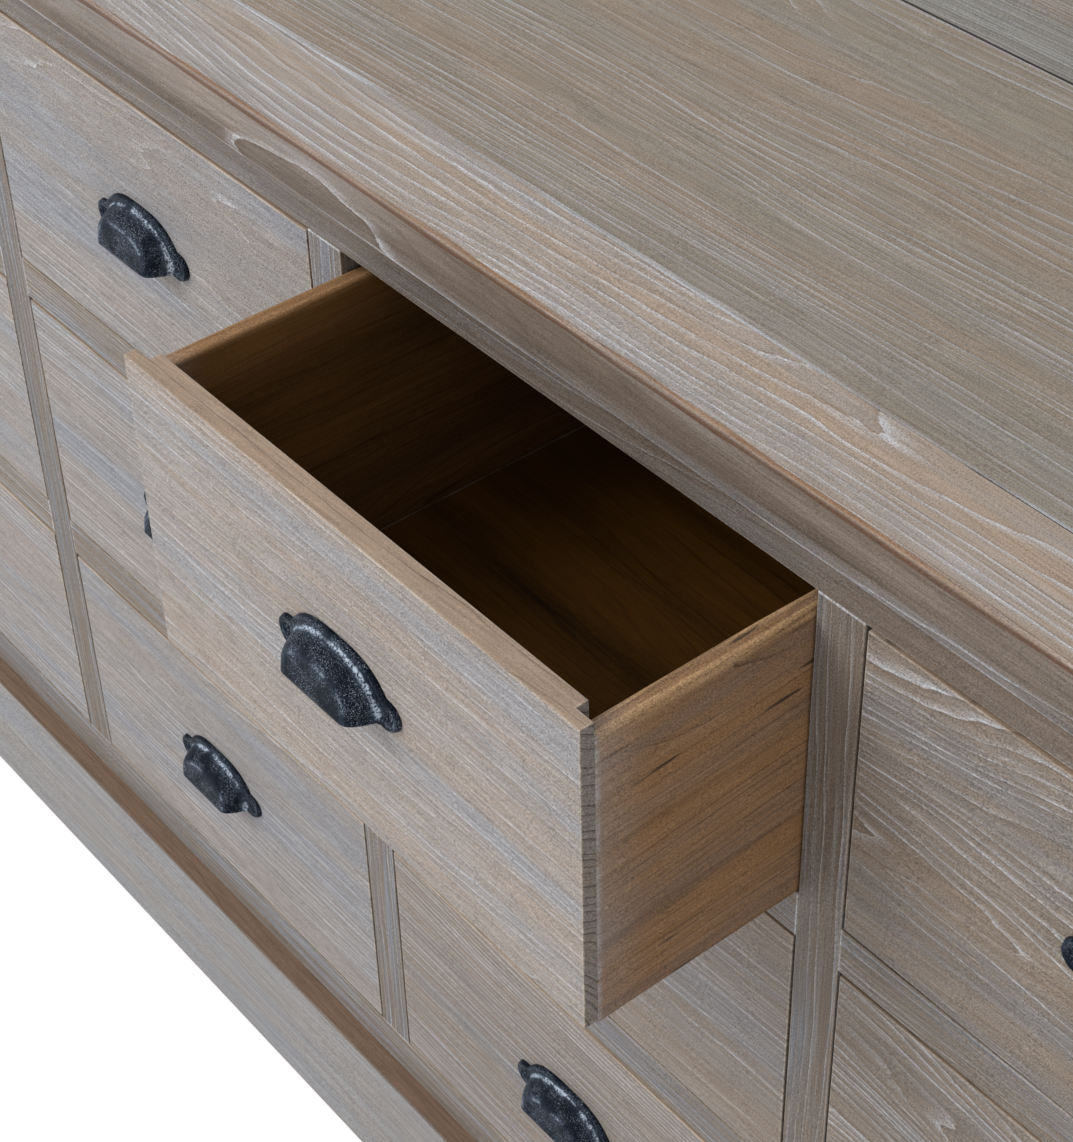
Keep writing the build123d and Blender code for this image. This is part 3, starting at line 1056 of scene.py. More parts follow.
    def assemble(
        self, rings: np.ndarray, outs: np.ndarray, dress: np.ndarray, dice: random.Random
    ) -> bpy.types.Mesh:
        """Joins the rings into a closed mesh and writes its attributes.

        Args:
            rings: The points, ring by ring.
            outs: The outward direction of each point.
            dress: The marks of each point.
            dice: The board's own random numbers.

        Returns:
            The board's mesh.
        """
        count, width = rings.shape[:2]
        faces = [tuple(reversed(range(width)))]
        for a in range(count - 1):
            for b in range(width):
                c = (b + 1) % width
                faces.append((a * width + b, a * width + c, (a + 1) * width + c, (a + 1) * width + b))
        faces.append(tuple(range((count - 1) * width, count * width)))
        points = rings.reshape(-1, 3)
        mesh = bpy.data.meshes.new(self.name)
        mesh.from_pydata(points.tolist(), [], faces)
        mesh.shade_smooth()
        out = outs.reshape(-1, 3)
        out /= np.linalg.norm(out, axis=1)[:, None]
        mesh.normals_split_custom_set_from_vertices(out.tolist())
        marks = dress.reshape(-1, 3)
        share = float(np.linalg.norm(self.bare))
        if share:
            faced = self.bare_gain * (out @ np.array(self.bare)) - self.bare_from * share
            marks[:, 2] = np.clip(faced, 0, share)
        write_vectors(mesh, "grain", self.in_log(points, dice))
        write_vectors(mesh, "facing", out[:, self.cut.axes])
        write_vectors(mesh, "dress", marks)
        write_numbers(mesh, "board", np.full(len(points), dice.random()))
        return mesh

    def in_log(self, points: np.ndarray, dice: random.Random) -> np.ndarray:
        """Finds where in its log each point of the board lay.

        Args:
            points: The board's points.
            dice: The board's own random numbers.

        Returns:
            The place along the log, across the board and behind its face.
        """
        lo, hi = points.min(0), points.max(0)
        placed = (points - (lo + hi) / 2)[:, self.cut.axes]
        length = placed[:, 0].copy()
        half = (hi - lo)[self.cut.axes[1]] / 2
        across, depth = self.cut.sawing.value
        side = dice.choice((-1, 1))
        placed[:, 1] += side * (across * dice.uniform(0.7, 1.3) + half * dice.uniform(0.2, 0.8))
        placed[:, 2] += dice.choice((-1, 1)) * depth * dice.uniform(0.75, 1.35)
        placed[:, 1] += self.cut.lean * dice.uniform(-1, 1) * length
        placed[:, 2] += self.cut.lean * dice.uniform(-1, 1) * length
        placed[:, 0] += dice.uniform(0, self.log_length)
        return placed


def squared(
    name: str, box: tuple[Vector, Vector], run: Axis, cut: Cut, edge: Edge,
    at: dict[tuple[int, int, int], Edge] | None = None, **others: object,
) -> Board:
    """A squared board that fills a box.

    Args:
        name: The board's name, which decides its grain.
        box: Its lowest and highest corner.
        run: The axis that its section is drawn along.
        cut: Where it lay in its log.
        edge: The arris of every corner that isn't named.
        at: Arrises of single corners, by the side of the board that they lie on along X, Y, Z.
        others: The board's other fields.

    Returns:
        The board.
    """
    lo, hi = box
    section = rectangle(lo, hi, run, edge, at)
    return Board(name, section, run, lo[run.value], hi[run.value], cut, **others)


def write_vectors(mesh: bpy.types.Mesh, name: str, values: np.ndarray) -> None:
    """Writes one vector for each point of a mesh.

    Args:
        mesh: The mesh.
        name: The attribute's name.
        values: One row for each point.
    """
    attribute = mesh.attributes.new(name, "FLOAT_VECTOR", "POINT")
    attribute.data.foreach_set("vector", values.astype(np.float32).ravel())


def write_numbers(mesh: bpy.types.Mesh, name: str, values: np.ndarray) -> None:
    """Writes one number for each point of a mesh."""
    attribute = mesh.attributes.new(name, "FLOAT", "POINT")
    attribute.data.foreach_set("value", values.astype(np.float32).ravel())


def joined(meshes: Sequence[bpy.types.Mesh], name: str) -> bpy.types.Mesh:
    """Puts several meshes into one, with their attributes and normals.

    Args:
        meshes: The meshes, which are used up.
        name: The name of the result.

    Returns:
        The one mesh.
    """
    objects = [bpy.data.objects.new(name, mesh) for mesh in meshes]
    for obj in objects:
        bpy.context.scene.collection.objects.link(obj)
    with bpy.context.temp_override(
        active_object=objects[0], object=objects[0], selected_objects=objects,
        selected_editable_objects=objects,
    ):
        bpy.ops.object.join()
    mesh = objects[0].data
    bpy.data.objects.remove(objects[0])
    mesh.name = name
    return mesh


def dressed(
    mesh: bpy.types.Mesh, name: str, finish: WoodFinish | IronFinish, body: str, slot: str,
    *nodes: str,
) -> bpy.types.Object:
    """Sets a finished mesh into the scene.

    Args:
        mesh: The piece's mesh, in place.
        name: The piece's name.
        finish: What it is finished with.
        body: The body that it moves with.
        slot: Not used.
        nodes: The frame's nodes that it stands for.

    Returns:
        The new piece.
    """
    mesh.materials.clear()
    mesh.materials.append(FINISHES.of(finish))
    piece = bpy.data.objects.new(name, mesh)
    bpy.context.scene.collection.objects.link(piece)
    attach(piece, body)
    if nodes:
        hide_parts(*nodes)
    LOG.info("%s: %d faces on %s", name, len(mesh.polygons), body)
    return piece


def finished(work: bmesh.types.BMesh, name: str) -> bpy.types.Mesh:
    """Turns built-up geometry into a mesh.

    Args:
        work: The geometry, which is used up.
        name: The mesh's name.

    Returns:
        The mesh.
    """
    mesh = bpy.data.meshes.new(name)
    work.to_mesh(mesh)
    work.free()
    return mesh


def solids(node: str) -> list[tuple[Vector, Vector]]:
    """The boxes of the separate solids of a node.

    Args:
        node: A node whose solids don't touch each other.

    Returns:
        The lowest and highest corner of each solid, sorted by place.
    """
    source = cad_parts[node].data
    points = np.array([v.co for v in source.vertices])
    keys = {}
    place = [keys.setdefault(tuple(k), len(keys)) for k in np.round(points, 5).tolist()]
    parent = list(range(len(keys)))

    def root(i: int) -> int:
        """The first point of the group that a point is in."""
        while parent[i] != i:
            parent[i] = parent[parent[i]]
            i = parent[i]
        return i

    for face in source.polygons:
        first, *rest = [place[v] for v in face.vertices]
        for other in rest:
            parent[root(other)] = root(first)
    groups: dict[int, list[int]] = {}
    for index, key in enumerate(place):
        groups.setdefault(root(key), []).append(index)
    boxes = [(points[g].min(0), points[g].max(0)) for g in groups.values()]
    boxes.sort(key=lambda b: tuple(np.round(b[0], 4)))
    return [(Vector(lo), Vector(hi)) for lo, hi in boxes]


class CopyTree:
    """A Geometry Nodes tree that sets copies of a pattern piece on a grid of places."""

    INPUTS = (
        ("Pattern", "NodeSocketObject"),
        ("Columns", "NodeSocketInt"),
        ("Rows", "NodeSocketInt"),
        ("Start", "NodeSocketVector"),
        ("Column Step", "NodeSocketVector"),
        ("Row Step", "NodeSocketVector"),
        ("Seed", "NodeSocketInt"),
        ("Finish", "NodeSocketMaterial"),
    )

    def __init__(self) -> None:
        """Builds the tree."""
        self.tree = bpy.data.node_groups.new("copies_on_a_grid", "GeometryNodeTree")
        for name, kind in self.INPUTS:
            self.tree.interface.new_socket(name, in_out="INPUT", socket_type=kind)
        self.tree.interface.new_socket("Geometry", in_out="OUTPUT", socket_type="NodeSocketGeometry")
        graph = Graph(self.tree)
        given = graph.node("NodeGroupInput").outputs
        count = graph.times(given["Columns"], given["Rows"])
        index = graph.node("GeometryNodeInputIndex").outputs[0]
        column = graph.math("MODULO", index, given["Columns"])
        row = graph.math("FLOOR", graph.math("DIVIDE", index, given["Columns"]))
        place = graph.vector("ADD", given["Start"], graph.scaled(given["Column Step"], column))
        place = graph.vector("ADD", place, graph.scaled(given["Row Step"], row))
        points = graph.node("GeometryNodePoints", count, place).outputs[0]
        pattern = graph.node("GeometryNodeObjectInfo", given["Pattern"]).outputs["Geometry"]
        copies = graph.node("GeometryNodeInstanceOnPoints", points, None, pattern).outputs[0]
        chance = graph.node("FunctionNodeRandomValue", data_type="FLOAT")
        graph.feed(chance.inputs["Seed"], given["Seed"])
        numbered = graph.node("GeometryNodeStoreNamedAttribute", data_type="FLOAT", domain="INSTANCE")
        graph.feed(numbered.inputs["Geometry"], copies)
        graph.feed(numbered.inputs["Name"], "copy")
        graph.feed(numbered.inputs["Value"], chance.outputs[1])
        real = graph.node("GeometryNodeRealizeInstances", numbered.outputs[0]).outputs[0]
        dressed_copies = graph.node("GeometryNodeSetMaterial", real)
        graph.feed(dressed_copies.inputs["Material"], given["Finish"])
        graph.node("NodeGroupOutput", dressed_copies.outputs[0])

    def lay(
        self, pattern: bpy.types.Mesh, finish: WoodFinish | IronFinish, start: Vector,
        steps: tuple[tuple[int, Vector], tuple[int, Vector]], seed: int,
    ) -> bpy.types.Mesh:
        """Lays out copies of a pattern.

        Args:
            pattern: The mesh that is copied, about the origin, which is used up.
            finish: What the copies are finished with.
            start: The place of the first copy.
            steps: The count and step of the columns and of the rows.
            seed: The seed of what differs from copy to copy.

        Returns:
            One plain mesh of all copies.
        """
        source = bpy.data.objects.new("pattern", pattern)
        holder = bpy.data.objects.new("copies", bpy.data.meshes.new("copies"))
        for obj in (source, holder):
            bpy.context.scene.collection.objects.link(obj)
        modifier = holder.modifiers.new("copies", "NODES")
        modifier.node_group = self.tree
        (columns, column_step), (rows, row_step) = steps
        values = {
            "Pattern": source,
            "Columns": columns,
            "Rows": rows,
            "Start": start,
            "Column Step": column_step,
            "Row Step": row_step,
            "Seed": seed,
            "Finish": FINISHES.of(finish),
        }
        for item in self.tree.interface.items_tree:
            if item.in_out == "INPUT":
                modifier[item.identifier] = values[item.name]
        ready = holder.evaluated_get(bpy.context.evaluated_depsgraph_get())
        mesh = bpy.data.meshes.new_from_object(ready)
        bpy.data.objects.remove(holder)
        bpy.data.objects.remove(source)
        self.renumber(mesh)
        return mesh

    @staticmethod
    def renumber(mesh: bpy.types.Mesh) -> None:
        """Gives each wooden copy a board number of its own."""
        if "board" not in mesh.attributes:
            return
        numbers = np.zeros(len(mesh.vertices), np.float32)
        mesh.attributes["copy"].data.foreach_get("value", numbers)
        mesh.attributes["board"].data.foreach_set("value", numbers)


ONCE = (1, Vector())


@dataclass
class Top:
    """The top: three boards glued edge to edge, with a soft worn arris in front."""

    round_r: float = 0.0027
    under_r: float = 0.0006
    joint_r: float = 0.0005
    joint_gap: float = 0.0006
    crack_from: float = 0.372
    # How far the arris marks reach, among them the painted shade on the front arris.
    arris_shade_width: float = 0.0013
    lime_width: float = 0.0022
    body: str = "carcass"

    def build(self) -> None:
        """Makes the three boards, the rear one a little apart from the middle one."""
        front = Edge(self.round_r, worn=0.9)
        under = Edge(self.under_r, limed=0.66)
        glued = Edge(self.joint_r, limed=1.0)
        cracked = Edge(self.joint_r, crack_from=self.crack_from)
        pale_side = Edge(self.joint_r, limed=0.6)
        open_side = Edge(self.joint_r, crack_from=-math.inf)
        rear = Edge(self.round_r, worn=0.4)
        front_cut = Cut(Axis.X, Axis.Y, Sawing.TANGENT, 0.03)
        middle_cut = Cut(Axis.X, Axis.Z, Sawing.FLAT, 0.02)
        rear_cut = Cut(Axis.X, Axis.Z, Sawing.RIFT, 0.02)
        self.board("top_front_board", LIMED_TOP, front_cut, 0.0, self.arris_shade_width,
                   {(0, -1, 1): front, (0, -1, -1): under, (0, 1, 1): cracked})
        self.board("top_middle_board", LIMED_TOP_MIDDLE, middle_cut, 0.0, self.lime_width,
                   {(0, -1, 1): glued, (0, 1, 1): pale_side})
        self.board("top_rear_board", LIMED_TOP_REAR, rear_cut, self.joint_gap, self.arris_shade_width,
                   {(0, -1, 1): open_side, (0, 1, 1): rear, (0, 1, -1): rear})

    def board(self, node: str, finish: WoodFinish, cut: Cut, gap: float, fade: float,
              at: dict[tuple[int, int, int], Edge]) -> None:
        """Makes one board of the top.

        Args:
            node: The node that it stands for.
            finish: What it is finished with.
            cut: Where it lay in its log.
            gap: How far its front edge stays back from its box.
            fade: How far the marks of its arrises reach.
            at: Its arrises.
        """
        lo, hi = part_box(node)
        box = (lo + Vector((0, gap, 0)), hi)
        end = Edge(self.round_r, worn=0.5)
        board = squared(f"{node}_wood", box, Axis.X, cut, CRISP, at, end=end, bare=(0, -1, 0),
                        arc_steps=5, fade=fade)
        dressed(board.mesh(), board.name, finish, self.body, "top_wood", node)


@dataclass
class FaceFrame:
    """The rails and stiles of the front."""

    arris: Edge = Edge(0.0007, worn=0.5)
    butt: Edge = FILLED
    body: str = "carcass"

    def build(self) -> None:
        """Makes the two long rails, the stiles and the short rails."""
        for node, finish in (("top_rail", SHADED_LIMED_RAIL), ("bottom_rail", LIMED_FRAME)):
            board = squared(f"{node}_wood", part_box(node), Axis.X, Cut(Axis.X, Axis.Y), self.arris)
            dressed(board.mesh(), board.name, finish, self.body, "frame_wood", node)
        z0, z1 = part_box("bottom_rail")[1].z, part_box("top_rail")[0].z
        stiles = []
        for node in ("end_stiles", "middle_stiles"):
            boxes = solids(node)
            for lo, hi in boxes:
                lo.z, hi.z = z0, z1
            stiles += boxes
            self.between(node, boxes, Axis.Z, LIMED_STILE)
        boxes = solids("drawer_rails")
        for lo, hi in boxes:
            middle = (lo.x + hi.x) / 2
            lo.x = max(stile_hi.x for _, stile_hi in stiles if stile_hi.x < middle)
            hi.x = min(stile_lo.x for stile_lo, _ in stiles if stile_lo.x > middle)
        self.between("drawer_rails", boxes, Axis.X, LIMED_FRAME)

    def between(
        self, node: str, boxes: list[tuple[Vector, Vector]], run: Axis, finish: WoodFinish
    ) -> None:
        """Makes the boards that are butted between others.

        Args:
            node: The node that they stand for.
            boxes: The lowest and highest corner of each board.
            run: The axis that they run along.
            finish: What they are finished with.
        """
        name = f"{node}_wood"
        meshes = [
            squared(f"{name}_{i}", box, run, Cut(run, Axis.Y), self.arris, end=self.butt).mesh()
            for i, box in enumerate(boxes)
        ]
        dressed(joined(meshes, name), name, finish, self.body, "frame_wood", node)


@dataclass
class Carcass:
    """The ends, the back and what stands inside."""

    copies: CopyTree
    side_count: int = 3
    back_count: int = 10
    side_edge: Edge = Edge(0.0009, worn=0.3)
    back_edge: Edge = Edge(0.0012)
    side_seeds: tuple[int, int] = (11, 12)
    back_seed: int = 17
    stop_seed: int = 23
    body: str = "carcass"

    def row(
        self, node: str, count: int, along: Axis, face: Axis, finish: WoodFinish, slot: str,
        edge: Edge, seed: int,
    ) -> None:
        """Makes upright boards that stand edge to edge.

        Args:
            node: The frame's node.
            count: How many boards it has.
            along: The axis that the boards stand along.
            face: The axis that their faces look along.
            finish: What they are finished with.
            slot: The name of a material slot, passed on to dressed.
            edge: The arris of the boards.
            seed: The seed of their differences.
        """
        lo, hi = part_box(node)
        step = Vector((0, 0, 0))
        step[along.value] = (hi - lo)[along.value] / count
        half = (hi - lo) / 2
        half[along.value] = step[along.value] / 2
        cut = Cut(Axis.Z, face, Sawing.FLAT)
        board = squared(f"{node}_pattern", (-half, half), Axis.Z, cut, edge)
        mesh = self.copies.lay(board.mesh(), finish, lo + half, ((count, step), ONCE), seed)
        dressed(mesh, f"{node}_wood", finish, self.body, slot, node)

    def build(self) -> None:
        """Makes the ends and the back, and finishes the inner pieces."""
        for node, seed in zip(("left_side_boards", "right_side_boards"), self.side_seeds):
            self.row(node, self.side_count, Axis.Y, Axis.X, LIMED, "carcass_wood", self.side_edge, seed)
        self.row("back_boards", self.back_count, Axis.X, Axis.Y, INNER, "inner_wood", self.back_edge,
                 self.back_seed)
        directions = {
            Axis.Y: ("top_row_runners", "middle_row_runners", "bottom_row_runners", "kickers",
                     "drawer_guides", "plinth_stretchers"),
            Axis.X: ("bottom_boards",),
            Axis.Z: ("partitions", "plinth_glue_blocks"),
        }
        for axis, nodes in directions.items():
            finish = replace(INNER, name=f"inner_wood_along_{axis.name.lower()}", along=axis)
            for node in nodes:
                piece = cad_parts[node]
                piece.data.materials.clear()
                piece.data.materials.append(FINISHES.of(finish))
        self.stops()

    def stops(self) -> None:
        """Makes the small blocks that stop the drawers."""
        boxes = solids("drawer_stops")
        lo, hi = boxes[0]
        half = (hi - lo) / 2
        xs = sorted({round(b[0].x, 4) for b in boxes})
        zs = sorted({round(b[0].z, 4) for b in boxes})
        cut = Cut(Axis.X, Axis.Z)
        block = squared("drawer_stop_pattern", (-half, half), Axis.X, cut, CRISP, end=CRISP)
        start = Vector((xs[0], lo.y, zs[0])) + half
        steps = (
            (len(xs), Vector(((xs[-1] - xs[0]) / (len(xs) - 1), 0, 0))),
            (len(zs), Vector((0, 0, (zs[-1] - zs[0]) / (len(zs) - 1)))),
        )
        mesh = self.copies.lay(block.mesh(), INNER, start, steps, self.stop_seed)
        dressed(mesh, "drawer_stops_wood", INNER, self.body, "inner_wood", "drawer_stops")


@dataclass
class Plinth:
    """The base, mitred at its front corners, with a brown ledge in front of the face frame."""

    top_edge: Edge = Edge(0.0015, worn=0.7)
    corner: Edge = Edge(0.0012, worn=0.6)
    body: str = "carcass"

    def build(self) -> None:
        """Makes the front, the two ends and the back."""
        lo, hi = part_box("plinth_front")
        x0, x1, y0, y1 = lo.x, hi.x, lo.y, hi.y
        in0, in1 = x0 + (y1 - y0), x1 - (y1 - y0)
        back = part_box("plinth_sides")[1].y
        soft = self.corner
        front = section_of((x0, y0, soft), (x1, y0, soft), (in1, y1, CRISP), (in0, y1, CRISP))
        left = section_of((x0, y0, soft), (in0, y1, CRISP), (in0, back, CRISP), (x0, back, soft))
        right = section_of((x1, y0, soft), (x1, back, soft), (in1, back, CRISP), (in1, y1, CRISP))
        self.boards("plinth_front", [front], Cut(Axis.X, Axis.Y, Sawing.FLAT), lo.z, hi.z)
        self.boards("plinth_sides", [left, right], Cut(Axis.Y, Axis.X, Sawing.FLAT), lo.z, hi.z)
        lo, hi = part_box("plinth_back")
        self.boards("plinth_back", [rectangle(lo, hi, Axis.Z, CRISP)], Cut(Axis.X, Axis.Y), lo.z, hi.z)

    def boards(self, node: str, plans: Sequence[list[Corner]], cut: Cut, z0: float, z1: float) -> None:
        """Makes upright boards from their plans.

        Args:
            node: The node that they stand for.
            plans: The plan of each board.
            cut: Where the boards lay in their log.
            z0: Their lower edge.
            z1: Their upper edge.
        """
        name = f"{node}_wood"
        meshes = [
            Board(f"{name}_{i}", plan, Axis.Z, z0, z1, cut, self.top_edge, bare=(0, 0, 1)).mesh()
            for i, plan in enumerate(plans)
        ]
        dressed(joined(meshes, name), name, LIMED_PLINTH, self.body, "plinth_wood", node)


def ridge(distance: np.ndarray | float, width: float) -> np.ndarray | float:
    """A soft ridge: one at its crest, and close to nothing at twice its width."""
    return np.exp(-((distance / width) ** 2))


@dataclass
class CupPull:
    """A cast cup pull: a plate with two ears and a domed cup open below, about its screw line."""

    outline_w: float = 0.038
    outline_z: float = 0.022
    ear_x: float = 0.038
    ear_r: float = 0.008
    plate_h: float = 0.0025
    foot_rise: float = 0.0014
    dome_w: float = 0.0322
    dome_z: float = 0.0188
    lip_z: float = -0.0065
    bottom_z: float = -0.008
    face_w: float = 0.0205
    face_z: float = 0.0096
    face_h: float = 0.0164
    face_lean: float = 0.15
    wall: float = 0.0025
    around: int = 120
    fine_rays: int = 2400
    first_reach: float = 0.002
    reach_steps: int = 60
    foot_clear: float = 0.001
    side_power: float = 0.88
    crown_power: float = 1.1
    bow_power: float = 1.35
    rise_power: float = 0.95
    # Width and strength of the painted highlights along the dome's foot and on its upper shoulder.
    foot_highlight_w: float = 0.09
    shoulder_highlight: float = 0.62
    shoulder_at: float = 0.78
    shoulder_w: float = 0.2
    ear_blend: float = 0.0022
    plate_round: float = 0.0011
    bead_in: float = 0.0016
    bead_w: float = 0.0006
    bead_h: float = 0.0004
    foot_w: float = 0.0024
    rim_w: float = 0.0006
    rim_out: float = 0.0005
    recess_r: float = 0.0044
    recess_floor_r: float = 0.0032
    recess_d: float = 0.0018
    plate_ways: tuple[float, ...] = (
        0.0, 0.06, 0.14, 0.24, 0.34, 0.42, 0.5, 0.58, 0.66, 0.74, 0.82, 0.9, 0.96,
    )
    shoulder_rows: int = 13
    face_ways: tuple[float, ...] = (0.12, 0.26, 0.42, 0.58, 0.74, 0.88, 1.0)
    weld: float = 0.00002
    screw_head_r: float = 0.003
    screw_head_h: float = 0.0008
    screw_slot_half: float = 0.00045
    screw_slot_floor: float = 0.0003
    # The screw heads' share of rub and painted highlight.
    screw_rub_and_highlight: float = 0.1

    def plate_edge(self) -> np.ndarray:
        """Draws the plate's outline.

        Returns:
            Evenly spaced points from the lower left, over the top, to the lower right.
        """
        low = math.degrees(math.atan2(-self.bottom_z, self.dome_w + self.foot_clear))
        fine = np.radians(np.linspace(180 + low, -low, self.fine_rays))
        rays = np.stack([np.cos(fine), np.sin(fine)], 1)
        reach = np.full(len(fine), self.first_reach)
        for _ in range(self.reach_steps):
            reach += 0.7 * np.maximum(-self.plate_distance(rays * reach[:, None]), 0.0)
        points = rays * reach[:, None]
        length = np.concatenate([[0], np.cumsum(np.linalg.norm(np.diff(points, axis=0), axis=1))])
        even = np.linspace(0, length[-1], self.around + 1)
        return np.stack([np.interp(even, length, line) for line in points.T], 1)

    def plate_distance(self, points: np.ndarray) -> np.ndarray:
        """How far outside the plate points are, below zero inside.

        Args:
            points: Places in the plate's plane.

        Returns:
            A signed distance for each, close to true near the edge.
        """
        x, z = np.abs(points[:, 0]), points[:, 1]
        crown_x, crown_z = x / self.outline_w, np.maximum(z, 0) / self.outline_z
        crown = (crown_x**3 + crown_z**1.6) ** 0.45 - 1
        crown *= 0.5 * (self.outline_w + self.outline_z)
        ear = np.hypot(x - self.ear_x, z) - self.ear_r
        blend = np.maximum(self.ear_blend - np.abs(crown - ear), 0) / self.ear_blend
        both = np.minimum(crown, ear) - blend**2 * self.ear_blend / 4
        return np.maximum(both, self.bottom_z - z)

    def dome_turns(self, plate: np.ndarray) -> tuple[np.ndarray, np.ndarray]:
        """The dome's way round that answers to the plate's outline.

        Args:
            plate: The plate's outline.

        Returns:
            The turn of each point over the dome, and its share of the drop below the screw line.
        """
        angle = np.arctan2(plate[:, 1], plate[:, 0])
        above = np.clip(angle, 0, math.pi)
        above = np.where(angle < -math.pi / 2, math.pi, above)
        turns = np.linspace(0, math.pi, 2000)
        place = self.arch(turns, np.zeros_like(turns), self.dome_w, self.dome_z)
        seen = np.arctan2(place[:, 1], place[:, 0])
        drop = np.clip(-plate[:, 1], 0, None) / -self.bottom_z
        return np.interp(above, seen, turns), drop

    def arch(self, turn: np.ndarray, drop: np.ndarray, half_w: float, crown: float) -> np.ndarray:
        """Draws one arch of the dome: a squared round above the screw line and straight sides below.

        Args:
            turn: The turn of each point over the dome.
            drop: The share of each point's drop below the screw line.
            half_w: Half the arch's width.
            crown: The arch's height above the screw line.

        Returns:
            The points of the arch.
        """
        cos, sin = np.cos(turn), np.clip(np.sin(turn), 0, 1)
        x = half_w * np.sign(cos) * np.abs(cos) ** self.side_power
        z = crown * sin**self.crown_power + self.lip_z * drop
        return np.stack([x, z], 1)

    def plate_rows(
        self, plate: np.ndarray, foot: np.ndarray
    ) -> Iterator[tuple[np.ndarray, np.ndarray]]:
        """The plate's rows, from its edge in to the dome's foot.

        Args:
            plate: The plate's outline.
            foot: The dome's foot.

        Yields:
            The points of each row, the last number of each its height, and their rub and painted
            highlight.
        """
        recess_slope = self.recess_r - self.recess_floor_r
        for way in self.plate_ways:
            flat = plate + way * (foot - plate)
            depth = np.linalg.norm(flat - plate, axis=1)
            near = np.clip(depth / self.plate_round, 0, 1)
            height = self.plate_h * np.sqrt(np.clip(1 - (1 - near) ** 2, 0, 1))
            bead = ridge(depth - self.bead_in, self.bead_w) * (near > 0)
            screw = np.hypot(np.abs(flat[:, 0]) - self.ear_x, flat[:, 1])
            hole = 1 - np.clip((screw - self.recess_floor_r) / recess_slope, 0, 1)
            rise = np.clip(1 - np.linalg.norm(flat - foot, axis=1) / self.foot_w, 0, 1)
            rim = ridge(screw - self.recess_r - self.rim_out, self.rim_w)
            height += self.bead_h * bead + self.foot_rise * rise**2 - self.recess_d * hole
            # Painted highlights along the bead, the dome's foot and the screw rims, none in the
            # recesses.
            rubs_and_highlights = np.clip(0.45 * bead + 1.1 * rise**1.6 + 0.6 * rim - 1.5 * hole, 0, 1)
            yield np.column_stack([flat, np.maximum(height, 0)]), rubs_and_highlights

    def dome_rows(
        self, turn: np.ndarray, drop: np.ndarray, base: float, wall: float
    ) -> Iterator[tuple[np.ndarray, np.ndarray]]:
        """The dome's rows, from its foot over the shoulder and down its front.

        Args:
            turn: The turn of each point over the dome.
            drop: The share of each point's drop below the screw line.
            base: The height of the foot.
            wall: How far inside the outer skin the rows lie.

        Yields:
            The points of each row, the last number of each its height, and their rub and painted
            highlight.
        """
        for way in np.linspace(0, 1, self.shoulder_rows):
            half_w = self.dome_w - wall + (self.face_w - self.dome_w + 0.5 * wall) * way
            crown = self.dome_z - wall + (self.face_z - self.dome_z + 0.5 * wall) * way
            flat = self.arch(turn, drop, half_w, crown)
            top = self.face_h - self.face_lean * flat[:, 1] - wall
            bow = 1 - (1 - way) ** self.bow_power
            height = base + (top - base) * np.sin(bow * math.pi / 2) ** self.rise_power
            # Painted highlight on the upper shoulder and along the foot.
            shoulder = self.shoulder_highlight * ridge(way - self.shoulder_at, self.shoulder_w)
            rubs_and_highlights = np.full(len(flat), max(ridge(way, self.foot_highlight_w), shoulder))
            yield np.column_stack([flat, height]), rubs_and_highlights
        for way in self.face_ways:
            down = flat.copy()
            down[:, 1] += way * (self.lip_z - down[:, 1])
            height = self.face_h - self.face_lean * down[:, 1] - wall
            # A faint painted highlight down the face and a brighter one on the lip.
            rubs_and_highlights = 0.2 * (1 - way) ** 2 + 0.3 * (way == 1.0)
            yield np.column_stack([down, height]), np.full(len(down), rubs_and_highlights)

    def skins(self) -> tuple[np.ndarray, np.ndarray, np.ndarray]:
        """Draws both skins of the casting.

        Returns:
            The outer and inner skin as grids of points, and how rubbed the outer one is.
        """
        plate = self.plate_edge()
        turn, drop = self.dome_turns(plate)
        foot = self.arch(turn, drop, self.dome_w, self.dome_z)
        rows = [*self.plate_rows(plate, foot)]
        rows += self.dome_rows(turn, drop, self.plate_h + self.foot_rise, 0.0)
        hollow = self.arch(turn, drop, self.dome_w - self.wall, self.dome_z - self.wall)
        inner = [row * (1, 1, 0) for row, _ in self.plate_rows(plate, hollow)]
        inner += [row for row, _ in self.dome_rows(turn, drop, 0.0, self.wall)]
        outer, rubs_and_highlights = zip(*rows)
        return np.array(outer), np.array(inner), np.array(rubs_and_highlights)

    def casting(self) -> bpy.types.Mesh:
        """Makes the casting as a closed shell.

        Returns:
            Its mesh, lying in X and Z with its back at Y zero.
        """
        outer, inner, rubs_and_highlights = self.skins()
        count, width = outer.shape[:2]
        rows = np.concatenate([outer.reshape(-1, 3), inner.reshape(-1, 3)])
        points = np.stack([rows[:, 0], -rows[:, 2], rows[:, 1]], 1)
        total = count * width
        faces = []
        for a in range(count - 1):
            for b in range(width - 1):
                first = a * width + b
                quad = (first, first + 1, first + width + 1, first + width)
                faces += [quad, tuple(total + i for i in reversed(quad))]
        grid = np.arange(total).reshape(count, width)
        sides = (grid[0], grid[1:, -1], grid[-1, -2::-1], grid[-2:0:-1, 0])
        loop = np.concatenate(sides).tolist()
        for first, second in zip(loop, loop[1:] + loop[:1]):
            faces.append((second, first, total + first, total + second))
        mesh = bpy.data.meshes.new("cup_pull_casting")
        mesh.from_pydata(points.tolist(), [], faces)
        write_numbers(mesh, "rub_and_highlight", np.concatenate([rubs_and_highlights.ravel(), 0 * rubs_and_highlights.ravel()]))
        work = bmesh.new()
        work.from_mesh(mesh)
        bmesh.ops.remove_doubles(work, verts=work.verts, dist=self.weld)
        bmesh.ops.recalc_face_normals(work, faces=work.faces)
        work.to_mesh(mesh)
        work.free()
        mesh.shade_smooth()
        return mesh

